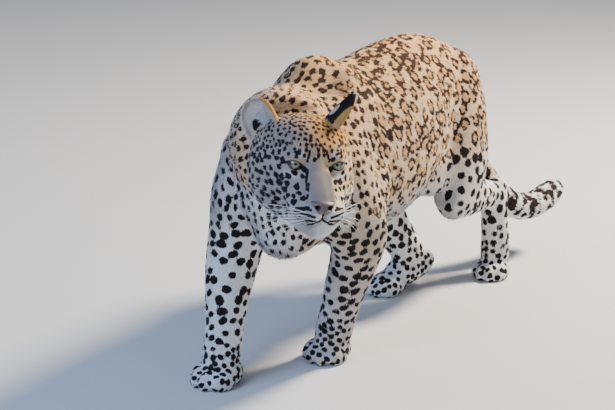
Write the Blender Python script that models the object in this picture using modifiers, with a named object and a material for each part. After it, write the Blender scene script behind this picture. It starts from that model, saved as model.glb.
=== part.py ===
"""A life-size male leopard in a slow walk, head turned to its left.

Metres, +Z up, origin on the ground under the middle of the animal. It faces -Y and its left side is +X.
The flesh is modelled whole from lofts and muscle forms, fused and smoothed, and then parted by thin cuts.
"""

import math

import bmesh
import bpy
import numpy as np
from mathutils import Euler, Matrix, Vector

# Driving dimensions, in metres
GAP = 0.0003
FLESH_VOXEL = 0.0060
FLESH_ROUNDS = 30
PAW_VOXEL = 0.0034
SKIN_VOXEL = 0.0028
HEAD_FACES = 4700
BODY_FACES = 6800
TAIL_FACES = 560

COAT_COLOUR = (0.62, 0.44, 0.24)
COLOURS = {"eye_left": (0.42, 0.44, 0.28), "eye_right": (0.42, 0.44, 0.28)}
ROUGHNESS = {"eye_left": 0.15, "eye_right": 0.15}

# Toes of a paw: place across and ahead as shares of its size, and how big
TOES = ((-0.37, 0.10, 0.88), (-0.135, 0.24, 1.0), (0.135, 0.24, 1.0), (0.37, 0.10, 0.88))

# Trunk stations: place along Y, spine height, belly height, height of the widest line, half width,
# spine offset in X
TRUNK = [
    (-0.478, 0.495, 0.390, 0.440, 0.040, 0.004),
    (-0.455, 0.540, 0.335, 0.430, 0.080, 0.003),
    (-0.410, 0.595, 0.298, 0.425, 0.108, 0.000),
    (-0.350, 0.648, 0.280, 0.425, 0.124, 0.000),
    (-0.280, 0.686, 0.272, 0.425, 0.134, 0.000),
    (-0.210, 0.674, 0.268, 0.425, 0.144, 0.000),
    (-0.150, 0.648, 0.262, 0.425, 0.150, 0.000),
    (-0.080, 0.646, 0.256, 0.425, 0.152, 0.000),
    (0.000, 0.652, 0.254, 0.430, 0.150, 0.000),
    (0.090, 0.657, 0.266, 0.440, 0.140, 0.000),
    (0.170, 0.655, 0.294, 0.460, 0.126, 0.000),
    (0.250, 0.643, 0.330, 0.490, 0.116, 0.000),
    (0.330, 0.615, 0.365, 0.490, 0.106, 0.000),
    (0.390, 0.582, 0.385, 0.480, 0.084, 0.000),
    (0.430, 0.552, 0.410, 0.475, 0.055, 0.000),
    (0.450, 0.525, 0.440, 0.480, 0.030, 0.000),
]

# Neck stations: centre, half width, half height
NECK = [
    ((0.000, -0.300, 0.500), 0.115, 0.130),
    ((0.002, -0.380, 0.515), 0.114, 0.128),
    ((0.018, -0.440, 0.535), 0.110, 0.120),
    ((0.048, -0.490, 0.548), 0.106, 0.112),
    ((0.085, -0.530, 0.555), 0.102, 0.106),
]

# Limb stations: centre, half width across the body, half depth fore and aft
FORELEG_RIGHT = [
    ((-0.070, -0.300, 0.560), 0.042, 0.087),
    ((-0.090, -0.350, 0.480), 0.058, 0.095),
    ((-0.107, -0.378, 0.400), 0.063, 0.091),
    ((-0.117, -0.378, 0.335), 0.061, 0.081),
    ((-0.123, -0.388, 0.280), 0.058, 0.073),
    ((-0.123, -0.412, 0.222), 0.053, 0.064),
    ((-0.115, -0.440, 0.170), 0.047, 0.053),
    ((-0.107, -0.464, 0.118), 0.041, 0.045),
    ((-0.105, -0.478, 0.075), 0.042, 0.044),
    ((-0.107, -0.486, 0.035), 0.043, 0.045),
]
FORELEG_LEFT = [
    ((0.064, -0.270, 0.580), 0.042, 0.082),
    ((0.088, -0.300, 0.490), 0.058, 0.097),
    ((0.106, -0.310, 0.410), 0.063, 0.093),
    ((0.111, -0.280, 0.340), 0.062, 0.085),
    ((0.105, -0.252, 0.285), 0.058, 0.076),
    ((0.090, -0.246, 0.235), 0.052, 0.065),
    ((0.072, -0.246, 0.180), 0.047, 0.055),
    ((0.055, -0.244, 0.125), 0.042, 0.047),
    ((0.041, -0.240, 0.078), 0.042, 0.045),
    ((0.031, -0.238, 0.035), 0.043, 0.046),
]
THIGH_LEFT = [
    ((0.058, 0.315, 0.560), 0.046, 0.085),
    ((0.076, 0.305, 0.480), 0.058, 0.102),
    ((0.088, 0.298, 0.400), 0.058, 0.108),
    ((0.096, 0.285, 0.335), 0.055, 0.108),
    ((0.101, 0.258, 0.285), 0.049, 0.092),
    ((0.102, 0.225, 0.262), 0.042, 0.055),
]
SHANK_LEFT = [
    ((0.100, 0.195, 0.282), 0.036, 0.040),
    ((0.103, 0.235, 0.268), 0.043, 0.060),
    ((0.106, 0.300, 0.252), 0.041, 0.056),
    ((0.107, 0.365, 0.236), 0.034, 0.045),
    ((0.107, 0.425, 0.222), 0.028, 0.036),
    ((0.107, 0.465, 0.212), 0.027, 0.033),
]
FOOT_LEFT = [
    ((0.107, 0.494, 0.250), 0.020, 0.020),
    ((0.107, 0.480, 0.218), 0.029, 0.035),
    ((0.107, 0.472, 0.180), 0.033, 0.039),
    ((0.108, 0.476, 0.130), 0.035, 0.038),
    ((0.109, 0.481, 0.080), 0.037, 0.038),
    ((0.109, 0.477, 0.035), 0.039, 0.040),
]
THIGH_RIGHT = [
    ((-0.058, 0.315, 0.560), 0.046, 0.085),
    ((-0.076, 0.295, 0.480), 0.058, 0.102),
    ((-0.086, 0.270, 0.400), 0.060, 0.108),
    ((-0.092, 0.235, 0.335), 0.056, 0.098),
    ((-0.090, 0.200, 0.285), 0.048, 0.070),
]
SHANK_RIGHT = [
    ((-0.088, 0.155, 0.300), 0.038, 0.038),
    ((-0.083, 0.180, 0.262), 0.046, 0.058),
    ((-0.072, 0.215, 0.210), 0.045, 0.058),
    ((-0.058, 0.246, 0.158), 0.042, 0.053),
    ((-0.045, 0.272, 0.115), 0.038, 0.048),
    ((-0.034, 0.300, 0.080), 0.035, 0.042),
]
FOOT_RIGHT = [
    ((-0.016, 0.350, 0.080), 0.022, 0.022),
    ((-0.019, 0.332, 0.062), 0.033, 0.034),
    ((-0.030, 0.300, 0.050), 0.037, 0.035),
    ((-0.044, 0.268, 0.044), 0.038, 0.035),
    ((-0.056, 0.238, 0.037), 0.039, 0.036),
]

# Tail stations: centre, radius
TAIL = [
    ((0.000, 0.360, 0.560), 0.044),
    ((0.000, 0.415, 0.540), 0.040),
    ((0.002, 0.452, 0.485), 0.036),
    ((0.007, 0.472, 0.400), 0.034),
    ((0.022, 0.490, 0.320), 0.033),
    ((0.048, 0.522, 0.245), 0.033),
    ((0.078, 0.562, 0.185), 0.034),
    ((0.102, 0.612, 0.146), 0.035),
    ((0.122, 0.668, 0.134), 0.035),
    ((0.138, 0.720, 0.143), 0.034),
    ((0.147, 0.758, 0.156), 0.030),
    ((0.151, 0.782, 0.167), 0.018),
]

# Paws: centre on the ground, heading in degrees from -Y towards +X, length, width, height
PAWS = {
    "foreleg_right": ((-0.108, -0.496), -22.0, 0.124, 0.106, 0.061),
    "foreleg_left": ((0.026, -0.246), -8.0, 0.124, 0.103, 0.059),
    "hindleg_right": ((-0.066, 0.224), -20.0, 0.118, 0.092, 0.054),
    "hindleg_left": ((0.109, 0.462), 0.0, 0.118, 0.090, 0.056),
}

# Head pose: point midway between the eyes, then turn about Z, pitch and roll in degrees
HEAD_PLACE = (0.2044, -0.6270, 0.5560)
HEAD_TURN = 43.5
HEAD_PITCH = 1.0
HEAD_ROLL = 5.0
HEAD_SCALE = 0.965

# The head's own frame starts between the eyes: X to its left, Y back, Z up. Sizes are before HEAD_SCALE
HEAD_CENTRE = (0.0, 0.055, -0.030)
HEAD_CUT = 0.150
EYE_PLACE = (0.0432, 0.0060, 0.0000)
EYE_RADIUS = 0.0160
EYE_TURN = 12.0
LID_THICKNESS = 0.0028
LID_WIDTH = 0.0172
UPPER_LID = 0.0102
LOWER_LID = 0.0088
LID_TILT = 13.0
LANDMARKS = {
    "nose_tip": (0.0, -0.0850, -0.0640),
    "nose_top": (0.0, -0.0800, -0.0530),
    "bridge_low": (0.0, -0.0660, -0.0380),
    "bridge_middle": (0.0, -0.0480, -0.0220),
    "stop": (0.0, -0.0290, -0.0060),
    "glabella": (0.0, -0.0190, 0.0120),
    "forehead_low": (0.0, -0.0080, 0.0300),
    "forehead": (0.0, 0.0120, 0.0520),
    "forehead_high": (0.0, 0.0420, 0.0700),
    "crown": (0.0, 0.0800, 0.0790),
    "poll": (0.0, 0.1250, 0.0760),
    "nape": (0.0, 0.1650, 0.0640),
    "nose_base": (0.0, -0.0840, -0.0770),
    "philtrum": (0.0, -0.0800, -0.0900),
    "lip_middle": (0.0, -0.0760, -0.0990),
    "chin_front": (0.0, -0.0680, -0.1130),
    "chin_low": (0.0, -0.0540, -0.1330),
    "under_jaw": (0.0, -0.0200, -0.1310),
    "under_tongue": (0.0, 0.0200, -0.1280),
    "throat": (0.0, 0.0700, -0.1260),
    "throat_back": (0.0, 0.1250, -0.1220),
    "nose_wing": (0.0220, -0.0780, -0.0620),
    "bridge_edge_low": (0.0230, -0.0620, -0.0430),
    "bridge_edge": (0.0250, -0.0420, -0.0270),
    "bridge_edge_high": (0.0250, -0.0180, -0.0050),
    "pad_front": (0.0240, -0.0800, -0.0830),
    "pad_top": (0.0370, -0.0600, -0.0640),
    "pad_side": (0.0545, -0.0440, -0.0800),
    "pad_low": (0.0430, -0.0540, -0.1020),
    "pad_low_front": (0.0200, -0.0730, -0.1010),
    "face_hollow": (0.0430, -0.0200, -0.0370),
    "under_eye": (0.0460, -0.0080, -0.0220),
    "lip_side": (0.0540, -0.0200, -0.0950),
    "mouth_corner": (0.0580, 0.0060, -0.0930),
    "jaw_side": (0.0460, -0.0200, -0.1180),
    "jaw_low": (0.0300, -0.0320, -0.1280),
    "jaw_back": (0.0600, 0.0300, -0.1150),
    "eye_front": (0.0432, -0.0070, 0.0000),
    "inner_corner": (0.0250, -0.0120, -0.0040),
    "outer_corner": (0.0630, 0.0080, 0.0030),
    "brow": (0.0380, -0.0070, 0.0190),
    "brow_outer": (0.0600, 0.0100, 0.0200),
    "cheekbone": (0.0680, 0.0110, -0.0190),
    "cheek_arch": (0.0860, 0.0400, -0.0120),
    "temple": (0.0760, 0.0440, 0.0300),
    "temple_high": (0.0620, 0.0500, 0.0560),
    "forehead_side": (0.0360, 0.0150, 0.0450),
    "crown_side": (0.0360, 0.0800, 0.0740),
    "ear_root_front": (0.0680, 0.0640, 0.0560),
    "ear_root_back": (0.0780, 0.1150, 0.0520),
    "cheek_front": (0.0700, 0.0080, -0.0500),
    "cheek": (0.0840, 0.0360, -0.0500),
    "cheek_low": (0.0760, 0.0260, -0.0850),
    "cheek_side": (0.0960, 0.0640, -0.0450),
    "ruff": (0.1090, 0.1000, -0.0500),
    "ruff_low": (0.0920, 0.0850, -0.0980),
    "ruff_high": (0.1000, 0.1050, 0.0020),
    "ruff_back": (0.1060, 0.1450, -0.0300),
    "throat_side": (0.0600, 0.0800, -0.1220),
    "throat_side_back": (0.0850, 0.1350, -0.1000),
    "neck_side": (0.0800, 0.1650, 0.0340),
    "rear": (0.0, 0.2200, -0.0200),
    "rear_side": (0.0700, 0.2000, -0.0300),
}
MOUTH_LINE = [
    (0.0000, -0.0830, -0.0790),
    (0.0000, -0.0800, -0.0910),
    (0.0120, -0.0760, -0.1000),
    (0.0260, -0.0660, -0.1050),
    (0.0400, -0.0510, -0.1050),
    (0.0510, -0.0280, -0.1000),
    (0.0570, -0.0020, -0.0930),
    (0.0590, 0.0100, -0.0890),
]
MOUTH_WIDTH = 0.0028
MOUTH_DEPTH = 0.0050
LEATHER_PLACE = (0.0, -0.0840, -0.0650)
LEATHER_RADII = (0.0215, 0.0200, 0.0120)
LEATHER_RISE = 0.0024
NOSTRIL_PLACE = (0.0120, -0.0865, -0.0655)
NOSTRIL_RADII = (0.0052, 0.0085, 0.0042)

# Swells of the face: middle, radii, height. Then ridges and furrows: the line's points, width, height
FACE_SWELLS = [
    ((0.0300, -0.0680, -0.0860), (0.0210, 0.0260, 0.0180), 0.0052),
    ((0.0000, -0.0700, -0.1200), (0.0200, 0.0200, 0.0140), 0.0040),
    ((0.0800, 0.0420, -0.0480), (0.0300, 0.0400, 0.0300), 0.0030),
    ((0.0290, -0.0150, -0.0060), (0.0090, 0.0120, 0.0080), -0.0034),
    ((0.0600, -0.0060, -0.0330), (0.0200, 0.0200, 0.0120), 0.0022),
]
FACE_LINES = [
    ([(0.0330, -0.0190, -0.0160), (0.0345, -0.0350, -0.0360), (0.0360, -0.0500, -0.0520)], 0.0085, -0.0042),
    ([(0.0200, -0.0160, 0.0130), (0.0390, -0.0100, 0.0200), (0.0580, 0.0050, 0.0180)], 0.0065, 0.0030),
    ([(0.0215, -0.0190, -0.0020), (0.0225, -0.0420, -0.0260), (0.0220, -0.0640, -0.0440)], 0.0055, 0.0018),
    ([(0.0240, -0.0790, -0.0700), (0.0340, -0.0640, -0.0660), (0.0480, -0.0440, -0.0650)], 0.0048, -0.0024),
    ([(0.0660, -0.0080, -0.0700), (0.0640, -0.0060, -0.0860), (0.0580, -0.0080, -0.1000)], 0.0080, -0.0026),
]

# Cutters: lower rectangle and upper rectangle, each a height and its ends in X and in Y
LIMB_CUTS = {
    "foreleg_right": ((-0.05, -0.320, 0.000, -0.640, -0.385), (0.350, -0.320, -0.056, -0.560, -0.290)),
    "foreleg_left": ((-0.05, -0.045, 0.260, -0.375, -0.130), (0.350, 0.050, 0.260, -0.420, -0.190)),
    "hindleg_right": ((-0.05, -0.260, 0.030, 0.120, 0.420), (0.372, -0.260, -0.022, 0.140, 0.470)),
    "hindleg_left": ((-0.05, 0.042, 0.260, 0.360, 0.570), (0.372, 0.022, 0.260, 0.150, 0.540)),
}
NECK_CUT_PLACE = (0.020, -0.425, 0.530)
NECK_CUT_AHEAD = (0.45, -0.89, 0.05)
TAIL_CUTS = (0.450, 0.205)

# Ear sizes, and for each ear where its root is, where its axis points and how far it is turned outwards
EAR_HEIGHT = 0.0880
EAR_HALF_WIDTH = 0.0455
EAR_DEPTH = 0.034
EAR_WALL = 0.0034
EAR_NARROW = 0.95
EAR_WIDEST = 0.50
EAR_PIT = ((0.0, 0.0120, 0.0300), (0.0170, 0.0110, 0.0260))
EARS = {
    "ear_left": ((0.057, 0.092, 0.047), (0.46, -0.08, 0.88), 78.0),
    "ear_right": ((-0.079, 0.114, 0.024), (-0.37, 0.50, 0.78), -54.0),
}

# Muscle forms on the trunk: name, centre, radii, turn about X, Y and Z in degrees
MUSCLES = [
    ("scapula_left", (0.054, -0.262, 0.566), (0.042, 0.066, 0.104), (-8, 8, 0)),
    ("scapula_right", (-0.052, -0.222, 0.562), (0.042, 0.074, 0.100), (-28, -8, 0)),
    ("shoulder_left", (0.096, -0.330, 0.455), (0.056, 0.075, 0.105), (20, 4, 0)),
    ("shoulder_right", (-0.092, -0.385, 0.450), (0.052, 0.072, 0.105), (25, -4, 0)),
    ("triceps_left", (0.112, -0.235, 0.395), (0.048, 0.072, 0.090), (-20, 0, 0)),
    ("triceps_right", (-0.112, -0.290, 0.395), (0.046, 0.072, 0.090), (-35, 0, 0)),
    ("neck_root_left", (0.050, -0.370, 0.520), (0.070, 0.090, 0.100), (0, 0, 0)),
    ("neck_root_right", (-0.055, -0.360, 0.520), (0.070, 0.095, 0.100), (0, 0, 0)),
    ("rump_left", (0.050, 0.315, 0.525), (0.066, 0.105, 0.078), (-18, 0, 0)),
    ("rump_right", (-0.050, 0.315, 0.525), (0.066, 0.105, 0.078), (-18, 0, 0)),
    ("flank_left", (0.088, 0.150, 0.370), (0.030, 0.100, 0.085), (-30, 0, 0)),
    ("flank_right", (-0.086, 0.130, 0.370), (0.030, 0.100, 0.085), (-30, 0, 0)),
    ("belly", (0.000, 0.020, 0.312), (0.090, 0.230, 0.062), (4, 0, 0)),
    ("brisket", (0.000, -0.380, 0.330), (0.070, 0.080, 0.060), (0, 0, 0)),
]


def clear_scene():
    for obj in list(bpy.data.objects):
        bpy.data.objects.remove(obj)


def collection(name):
    made = bpy.data.collections.new(name)
    bpy.context.scene.collection.children.link(made)
    return made


def smooth_path(rows, steps):
    """Catmull-Rom values through the rows, steps samples for each span."""
    rows = np.asarray(rows, float)
    padded = np.vstack([2 * rows[0] - rows[1], rows, 2 * rows[-1] - rows[-2]])
    t = np.linspace(0, 1, steps, endpoint=False)[:, None]
    spans = []
    for a, b, c, d in zip(padded[:-3], padded[1:-2], padded[2:-1], padded[3:]):
        spans.append(
            0.5 * (2 * b + (c - a) * t + (2 * a - 5 * b + 4 * c - d) * t**2 + (3 * b - a - 3 * c + d) * t**3)
        )
    return np.vstack(spans + [rows[-1:]])


def loft(name, rings):
    """A closed mesh through rings of equal count, with a fan at each end."""
    bm = bmesh.new()
    loops = [[bm.verts.new(p) for p in ring] for ring in rings]
    count = len(loops[0])
    for a, b in zip(loops[:-1], loops[1:]):
        for i in range(count):
            j = (i + 1) % count
            bm.faces.new((a[i], a[j], b[j], b[i]))
    for ring, order in ((loops[0], -1), (loops[-1], 1)):
        centre = sum((v.co for v in ring), Vector()) / count
        tip = bm.verts.new(centre)
        for i in range(count):
            j = (i + 1) % count
            bm.faces.new((ring[i], ring[j], tip)[::order])
    bmesh.ops.recalc_face_normals(bm, faces=bm.faces)
    return mesh_object(name, bm)


def mesh_object(name, bm):
    mesh = bpy.data.meshes.new(name)
    bm.to_mesh(mesh)
    bm.free()
    obj = bpy.data.objects.new(name, mesh)
    bpy.context.scene.collection.objects.link(obj)
    return obj


def ellipsoid(name, centre, radii, turn=(0, 0, 0), segments=24):
    bm = bmesh.new()
    bmesh.ops.create_uvsphere(bm, u_segments=segments, v_segments=segments // 2, radius=1.0)
    turned = Euler([math.radians(a) for a in turn]).to_matrix().to_4x4()
    place = Matrix.Translation(centre) @ turned @ Matrix.Diagonal((*radii, 1.0))
    bmesh.ops.transform(bm, matrix=place, verts=bm.verts)
    return mesh_object(name, bm)


def trunk():
    """Rings across the body: an egg that is narrow at the spine and widest at its own line."""
    rows = smooth_path(TRUNK, 4)
    angles = np.linspace(0, 2 * math.pi, 28, endpoint=False)
    rings = []
    for y, top, low, wide, half, shift in rows:
        up = np.cos(angles)
        rise = np.where(up > 0, (top - wide) * up, (wide - low) * up)
        width = half * np.sin(angles) * np.where(up > 0, 1 - 0.10 * up**2, 1 - 0.12 * up**2)
        rings.append(np.stack([shift + width, np.full(28, y), wide + rise], 1))
    return loft("trunk", rings)


def limb(name, stations, sides=20, steps=4):
    """Oval rings across a bent path: the first radius runs across the body, the second along its depth."""
    rows = smooth_path([(*c, *r) for c, *r in stations], steps)
    centres = rows[:, :3]
    along = np.gradient(centres, axis=0)
    along /= np.linalg.norm(along, axis=1)[:, None]
    side = np.array([1.0, 0.0, 0.0])
    across = side - (along @ side)[:, None] * along
    across /= np.linalg.norm(across, axis=1)[:, None]
    depth = np.cross(along, across)
    angles = np.linspace(0, 2 * math.pi, sides, endpoint=False)
    rings = [
        c + a * w * np.cos(angles)[:, None] + d * h * np.sin(angles)[:, None]
        for c, a, d, w, h in zip(centres, across, depth, rows[:, 3], rows[:, -1])
    ]
    return loft(name, rings)


def paw(name, place, heading, length, width, height):
    """A palm, four toes in an arc and a heel, all a little below the ground so that the sole is cut flat."""
    turn = math.radians(heading)
    ahead = Vector((math.sin(turn), -math.cos(turn), 0))
    side = Vector((math.cos(turn), math.sin(turn), 0))
    centre = Vector((*place, 0))
    pieces = [
        ellipsoid(name + "_palm", centre - ahead * length * 0.10 + Vector((0, 0, height * 0.42)),
                  (width * 0.44, length * 0.40, height * 0.62), (0, 0, heading)),
    ]
    for across, forward, big in TOES:
        spot = centre + side * across * width + ahead * forward * length + Vector((0, 0, height * 0.30))
        pieces.append(
            ellipsoid(name + "_toe", spot, (width * 0.155 * big, length * 0.25, height * 0.46 * big),
                      (6, 0, heading + across * -18))
        )
    return pieces


def fuse(name, pieces, voxel, rounds):
    """Joins closed pieces into one smooth skin: voxel remesh, then smoothing that softens every join."""
    bpy.ops.object.select_all(action="DESELECT")
    for piece in pieces:
        piece.select_set(True)
    bpy.context.view_layer.objects.active = pieces[0]
    bpy.ops.object.join()
    body = pieces[0]
    body.name = name
    remesh = body.modifiers.new("blend", "REMESH")
    remesh.mode = "VOXEL"
    remesh.voxel_size = voxel
    soften = body.modifiers.new("soften", "SMOOTH")
    soften.factor = 0.5
    soften.iterations = rounds
    return apply_modifiers(body)


def apply_modifiers(obj):
    graph = bpy.context.evaluated_depsgraph_get()
    mesh = bpy.data.meshes.new_from_object(obj.evaluated_get(graph))
    obj.modifiers.clear()
    obj.data = mesh
    return obj


def flesh_pieces():
    """Trunk, neck, limbs and muscle forms, all overlapping."""
    pieces = [trunk(), limb("neck", NECK)]
    for name, stations in (
        ("foreleg_right", FORELEG_RIGHT), ("foreleg_left", FORELEG_LEFT),
        ("thigh_left", THIGH_LEFT), ("shank_left", SHANK_LEFT), ("foot_left", FOOT_LEFT),
        ("thigh_right", THIGH_RIGHT), ("shank_right", SHANK_RIGHT), ("foot_right", FOOT_RIGHT),
        ("tail_stump", TAIL[:4]),
    ):
        pieces.append(limb(name, stations))
    for name, centre, radii, turn in MUSCLES:
        pieces.append(ellipsoid(name, centre, radii, turn))
    return pieces


def head_matrix():
    turn = Euler([math.radians(a) for a in (HEAD_PITCH, HEAD_ROLL, HEAD_TURN)]).to_matrix().to_4x4()
    return Matrix.Translation(HEAD_PLACE) @ turn @ Matrix.Scale(HEAD_SCALE, 4)


def landmark_points():
    """Every landmark, and its mirror where it stands off the middle."""
    rows = np.array(list(LANDMARKS.values()))
    mirrored = rows[rows[:, 0] > 0] * (-1, 1, 1)
    return np.vstack([rows, mirrored])


def head_radius(directions):
    """Distance from the head's centre to its skin: the smoothest cubic spline through all landmarks."""
    offsets = landmark_points() - HEAD_CENTRE
    reach = np.linalg.norm(offsets, axis=1)
    known = offsets / reach[:, None]
    count = len(known)
    spread = np.linalg.norm(known[:, None] - known[None], axis=2) ** 3
    flat = np.hstack([np.ones((count, 1)), known])
    system = np.block([[spread, flat], [flat.T, np.zeros((4, 4))]])
    system[range(count), range(count)] += 1e-4
    solved = np.linalg.solve(system, np.concatenate([reach, np.zeros(4)]))
    near = np.linalg.norm(directions[:, None] - known[None], axis=2) ** 3
    return near @ solved[:count] + solved[count] + directions @ solved[count + 1:]


def head_mass(level=6):
    """The whole head as one ball drawn out to its landmarks."""
    bm = bmesh.new()
    bmesh.ops.create_icosphere(bm, subdivisions=level, radius=1.0)
    obj = mesh_object("head_mass", bm)
    directions = coordinates(obj)
    directions /= np.linalg.norm(directions, axis=1)[:, None]
    place(obj, HEAD_CENTRE + directions * head_radius(directions)[:, None])
    obj.data.transform(head_matrix())
    return obj


def coordinates(obj):
    flat = np.empty(len(obj.data.vertices) * 3)
    obj.data.vertices.foreach_get("co", flat)
    return flat.reshape(-1, 3)


def place(obj, points):
    obj.data.vertices.foreach_set("co", np.ascontiguousarray(points).ravel())
    obj.data.update()


def on_skin(points):
    """Points in the head's frame moved along their own direction onto the skin."""
    offsets = np.asarray(points, float) - HEAD_CENTRE
    directions = offsets / np.linalg.norm(offsets, axis=1)[:, None]
    return HEAD_CENTRE + directions * head_radius(directions)[:, None]


def lid_forms():
    forms = []
    for side in (1, -1):
        x, y, z = EYE_PLACE
        size = EYE_RADIUS + LID_THICKNESS
        forms.append(ellipsoid("lid", (x * side, y, z), (size, size, size * 0.95)))
    for form in forms:
        form.data.transform(head_matrix())
    return forms


def ear_frame(root, axis, turn):
    lean = Vector((0, 0, 1)).rotation_difference(Vector(axis)).to_matrix().to_4x4()
    return head_matrix() @ Matrix.Translation(root) @ lean @ Matrix.Rotation(math.radians(turn), 4, "Z")


def ear_shell(name, root, axis, turn):
    """A leaf bent into a cup: widest below the middle, deep at the root and flatter towards its round tip."""
    up = (1 - (1 - np.linspace(0, 1, 12)) ** 1.6) * 0.998
    across = np.linspace(-1, 1, 13)
    t, a = np.meshgrid(up, across, indexing="ij")
    below = EAR_NARROW + (1 - EAR_NARROW) * np.sin(np.clip(t / EAR_WIDEST, 0, 1) * math.pi / 2)
    above = np.sqrt(1 - (np.clip(t - EAR_WIDEST, 0, 1) / (1 - EAR_WIDEST)) ** 2.3)
    half = EAR_HALF_WIDTH * below * above
    depth = EAR_DEPTH * (1 - 0.70 * t)
    shells = []
    for wall in (0.0, EAR_WALL):
        shells.append(np.stack([
            np.maximum(half - wall, half * 0.5) * np.sin(a * math.pi / 2),
            np.maximum(depth - wall, 0.002) * np.cos(a * math.pi / 2) ** 0.8,
            t * (EAR_HEIGHT - wall),
        ], 2))
    bm = bmesh.new()
    outer, inner = [[[bm.verts.new(p) for p in row] for row in shell] for shell in shells]
    rows, columns = t.shape
    for i in range(rows - 1):
        for j in range(columns - 1):
            bm.faces.new((outer[i][j], outer[i][j + 1], outer[i + 1][j + 1], outer[i + 1][j]))
            bm.faces.new((inner[i][j], inner[i + 1][j], inner[i + 1][j + 1], inner[i][j + 1]))
    for i in range(rows - 1):
        for j in (0, columns - 1):
            bm.faces.new((outer[i][j], outer[i + 1][j], inner[i + 1][j], inner[i][j]))
    for j in range(columns - 1):
        for i in (0, rows - 1):
            bm.faces.new((outer[i][j], inner[i][j], inner[i][j + 1], outer[i][j + 1]))
    bmesh.ops.recalc_face_normals(bm, faces=bm.faces)
    obj = mesh_object(name, bm)
    obj.data.transform(ear_frame(root, axis, turn))
    return obj


def ear_nodes(head):
    """Each ear is cut by the head it stands on, and a pit goes down into the head inside its cup."""
    nodes = []
    for name, sizes in EARS.items():
        ear = ear_shell(name, *sizes)
        pit = ellipsoid("pit", *EAR_PIT, segments=16)
        pit.data.transform(ear_frame(*sizes))
        boolean(head, pit)
        remove(pit)
        nodes.append(keep_clear(ear, head, GAP * 1.3))
    return nodes


def keep_clear(node, other, room):
    """Cuts away what comes nearer to the other node than this, then the rest of it at half the distance."""
    for reach in (room, room / 2):
        hollow = grown(other, reach)
        boolean(node, hollow)
        remove(hollow)
    return keep_largest(node)


def copy_of(obj, name):
    made = obj.copy()
    made.data = obj.data.copy()
    made.name = name
    bpy.context.scene.collection.objects.link(made)
    return made


def boolean(obj, cutter, operation="DIFFERENCE"):
    """Cuts obj by the cutter, which stays as it was."""
    modifier = obj.modifiers.new("cut", "BOOLEAN")
    modifier.object = cutter
    modifier.operation = operation
    modifier.solver = "EXACT"
    return apply_modifiers(obj)


def grown(cutter, amount):
    """The same closed shape with every face moved out by the amount."""
    made = copy_of(cutter, cutter.name + "_grown")
    bm = bmesh.new()
    bm.from_mesh(made.data)
    bm.normal_update()
    moves = [(v, v.normal * (amount * v.calc_shell_factor())) for v in bm.verts]
    for v, move in moves:
        v.co += move
    bm.to_mesh(made.data)
    bm.free()
    return made


def block(name, lower, upper):
    """A cutter between two level rectangles."""
    bm = bmesh.new()
    corners = []
    for height, x0, x1, y0, y1 in (lower, upper):
        ring = ((x0, y0, height), (x1, y0, height), (x1, y1, height), (x0, y1, height))
        corners.append([bm.verts.new(p) for p in ring])
    low, high = corners
    bm.faces.new(low[::-1])
    bm.faces.new(high)
    for i in range(4):
        j = (i + 1) % 4
        bm.faces.new((low[i], low[j], high[j], high[i]))
    bmesh.ops.recalc_face_normals(bm, faces=bm.faces)
    return mesh_object(name, bm)


def slab(name, place, ahead, reach, half_side, below, above):
    """A box that starts at a place and runs on ahead of it."""
    ahead = Vector(ahead).normalized()
    side = ahead.cross(Vector((0, 0, 1))).normalized()
    up = side.cross(ahead)
    bm = bmesh.new()
    bmesh.ops.create_cube(bm, size=1.0)
    frame = Matrix((side, ahead, up)).transposed().to_4x4()
    size = Matrix.Diagonal((2 * half_side, reach, below + above, 1))
    centre = Vector(place) + ahead * reach / 2 + up * (above - below) / 2
    bmesh.ops.transform(bm, matrix=Matrix.Translation(centre) @ frame @ size, verts=bm.verts)
    bmesh.ops.recalc_face_normals(bm, faces=bm.faces)
    return mesh_object(name, bm)


def remove(*objects):
    for obj in objects:
        bpy.data.objects.remove(obj)


def part_off(source, name, cutter, gap=GAP):
    """The piece of the source inside the cutter as its own node, and the source without that piece."""
    piece = boolean(copy_of(source, name), cutter, "INTERSECT")
    wider = grown(cutter, gap)
    boolean(source, wider)
    remove(cutter, wider)
    return keep_largest(piece)


def keep_largest(obj):
    """Drops the crumbs that a cut may leave."""
    bm = bmesh.new()
    bm.from_mesh(obj.data)
    bmesh.ops.remove_doubles(bm, verts=bm.verts, dist=2e-6)
    bm.verts.ensure_lookup_table()
    groups, seen = [], set()
    for vert in bm.verts:
        if vert.index in seen:
            continue
        group, wave = [], [vert]
        seen.add(vert.index)
        while wave:
            here = wave.pop()
            group.append(here)
            for edge in here.link_edges:
                there = edge.other_vert(here)
                if there.index not in seen:
                    seen.add(there.index)
                    wave.append(there)
        groups.append(group)
    groups.sort(key=len)
    bmesh.ops.delete(bm, geom=[v for group in groups[:-1] for v in group], context="VERTS")
    bmesh.ops.triangulate(bm, faces=bm.faces)
    bm.to_mesh(obj.data)
    bm.free()
    return obj


def thin_out(obj, faces):
    """Fewer triangles, kept where the form bends."""
    bm = bmesh.new()
    bm.from_mesh(obj.data)
    bmesh.ops.triangulate(bm, faces=bm.faces)
    now = len(bm.faces)
    bm.to_mesh(obj.data)
    bm.free()
    fewer = obj.modifiers.new("fewer", "DECIMATE")
    fewer.ratio = min(1.0, faces / now)
    return apply_modifiers(obj)


def soften(obj, rounds, weight):
    """Moves every point towards the middle of its neighbours, by its own weight."""
    points = coordinates(obj)
    ends = np.empty(len(obj.data.edges) * 2, np.int64)
    obj.data.edges.foreach_get("vertices", ends)
    a, b = ends.reshape(-1, 2).T
    a, b = np.concatenate([a, b]), np.concatenate([b, a])
    count = np.maximum(np.bincount(a, minlength=len(points)), 1)
    share = weight(points)[:, None]
    for _ in range(rounds):
        middle = np.stack([np.bincount(a, points[b, k], len(points)) for k in range(3)], 1) / count[:, None]
        points += share * (middle - points)
    place(obj, points)
    return obj


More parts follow.
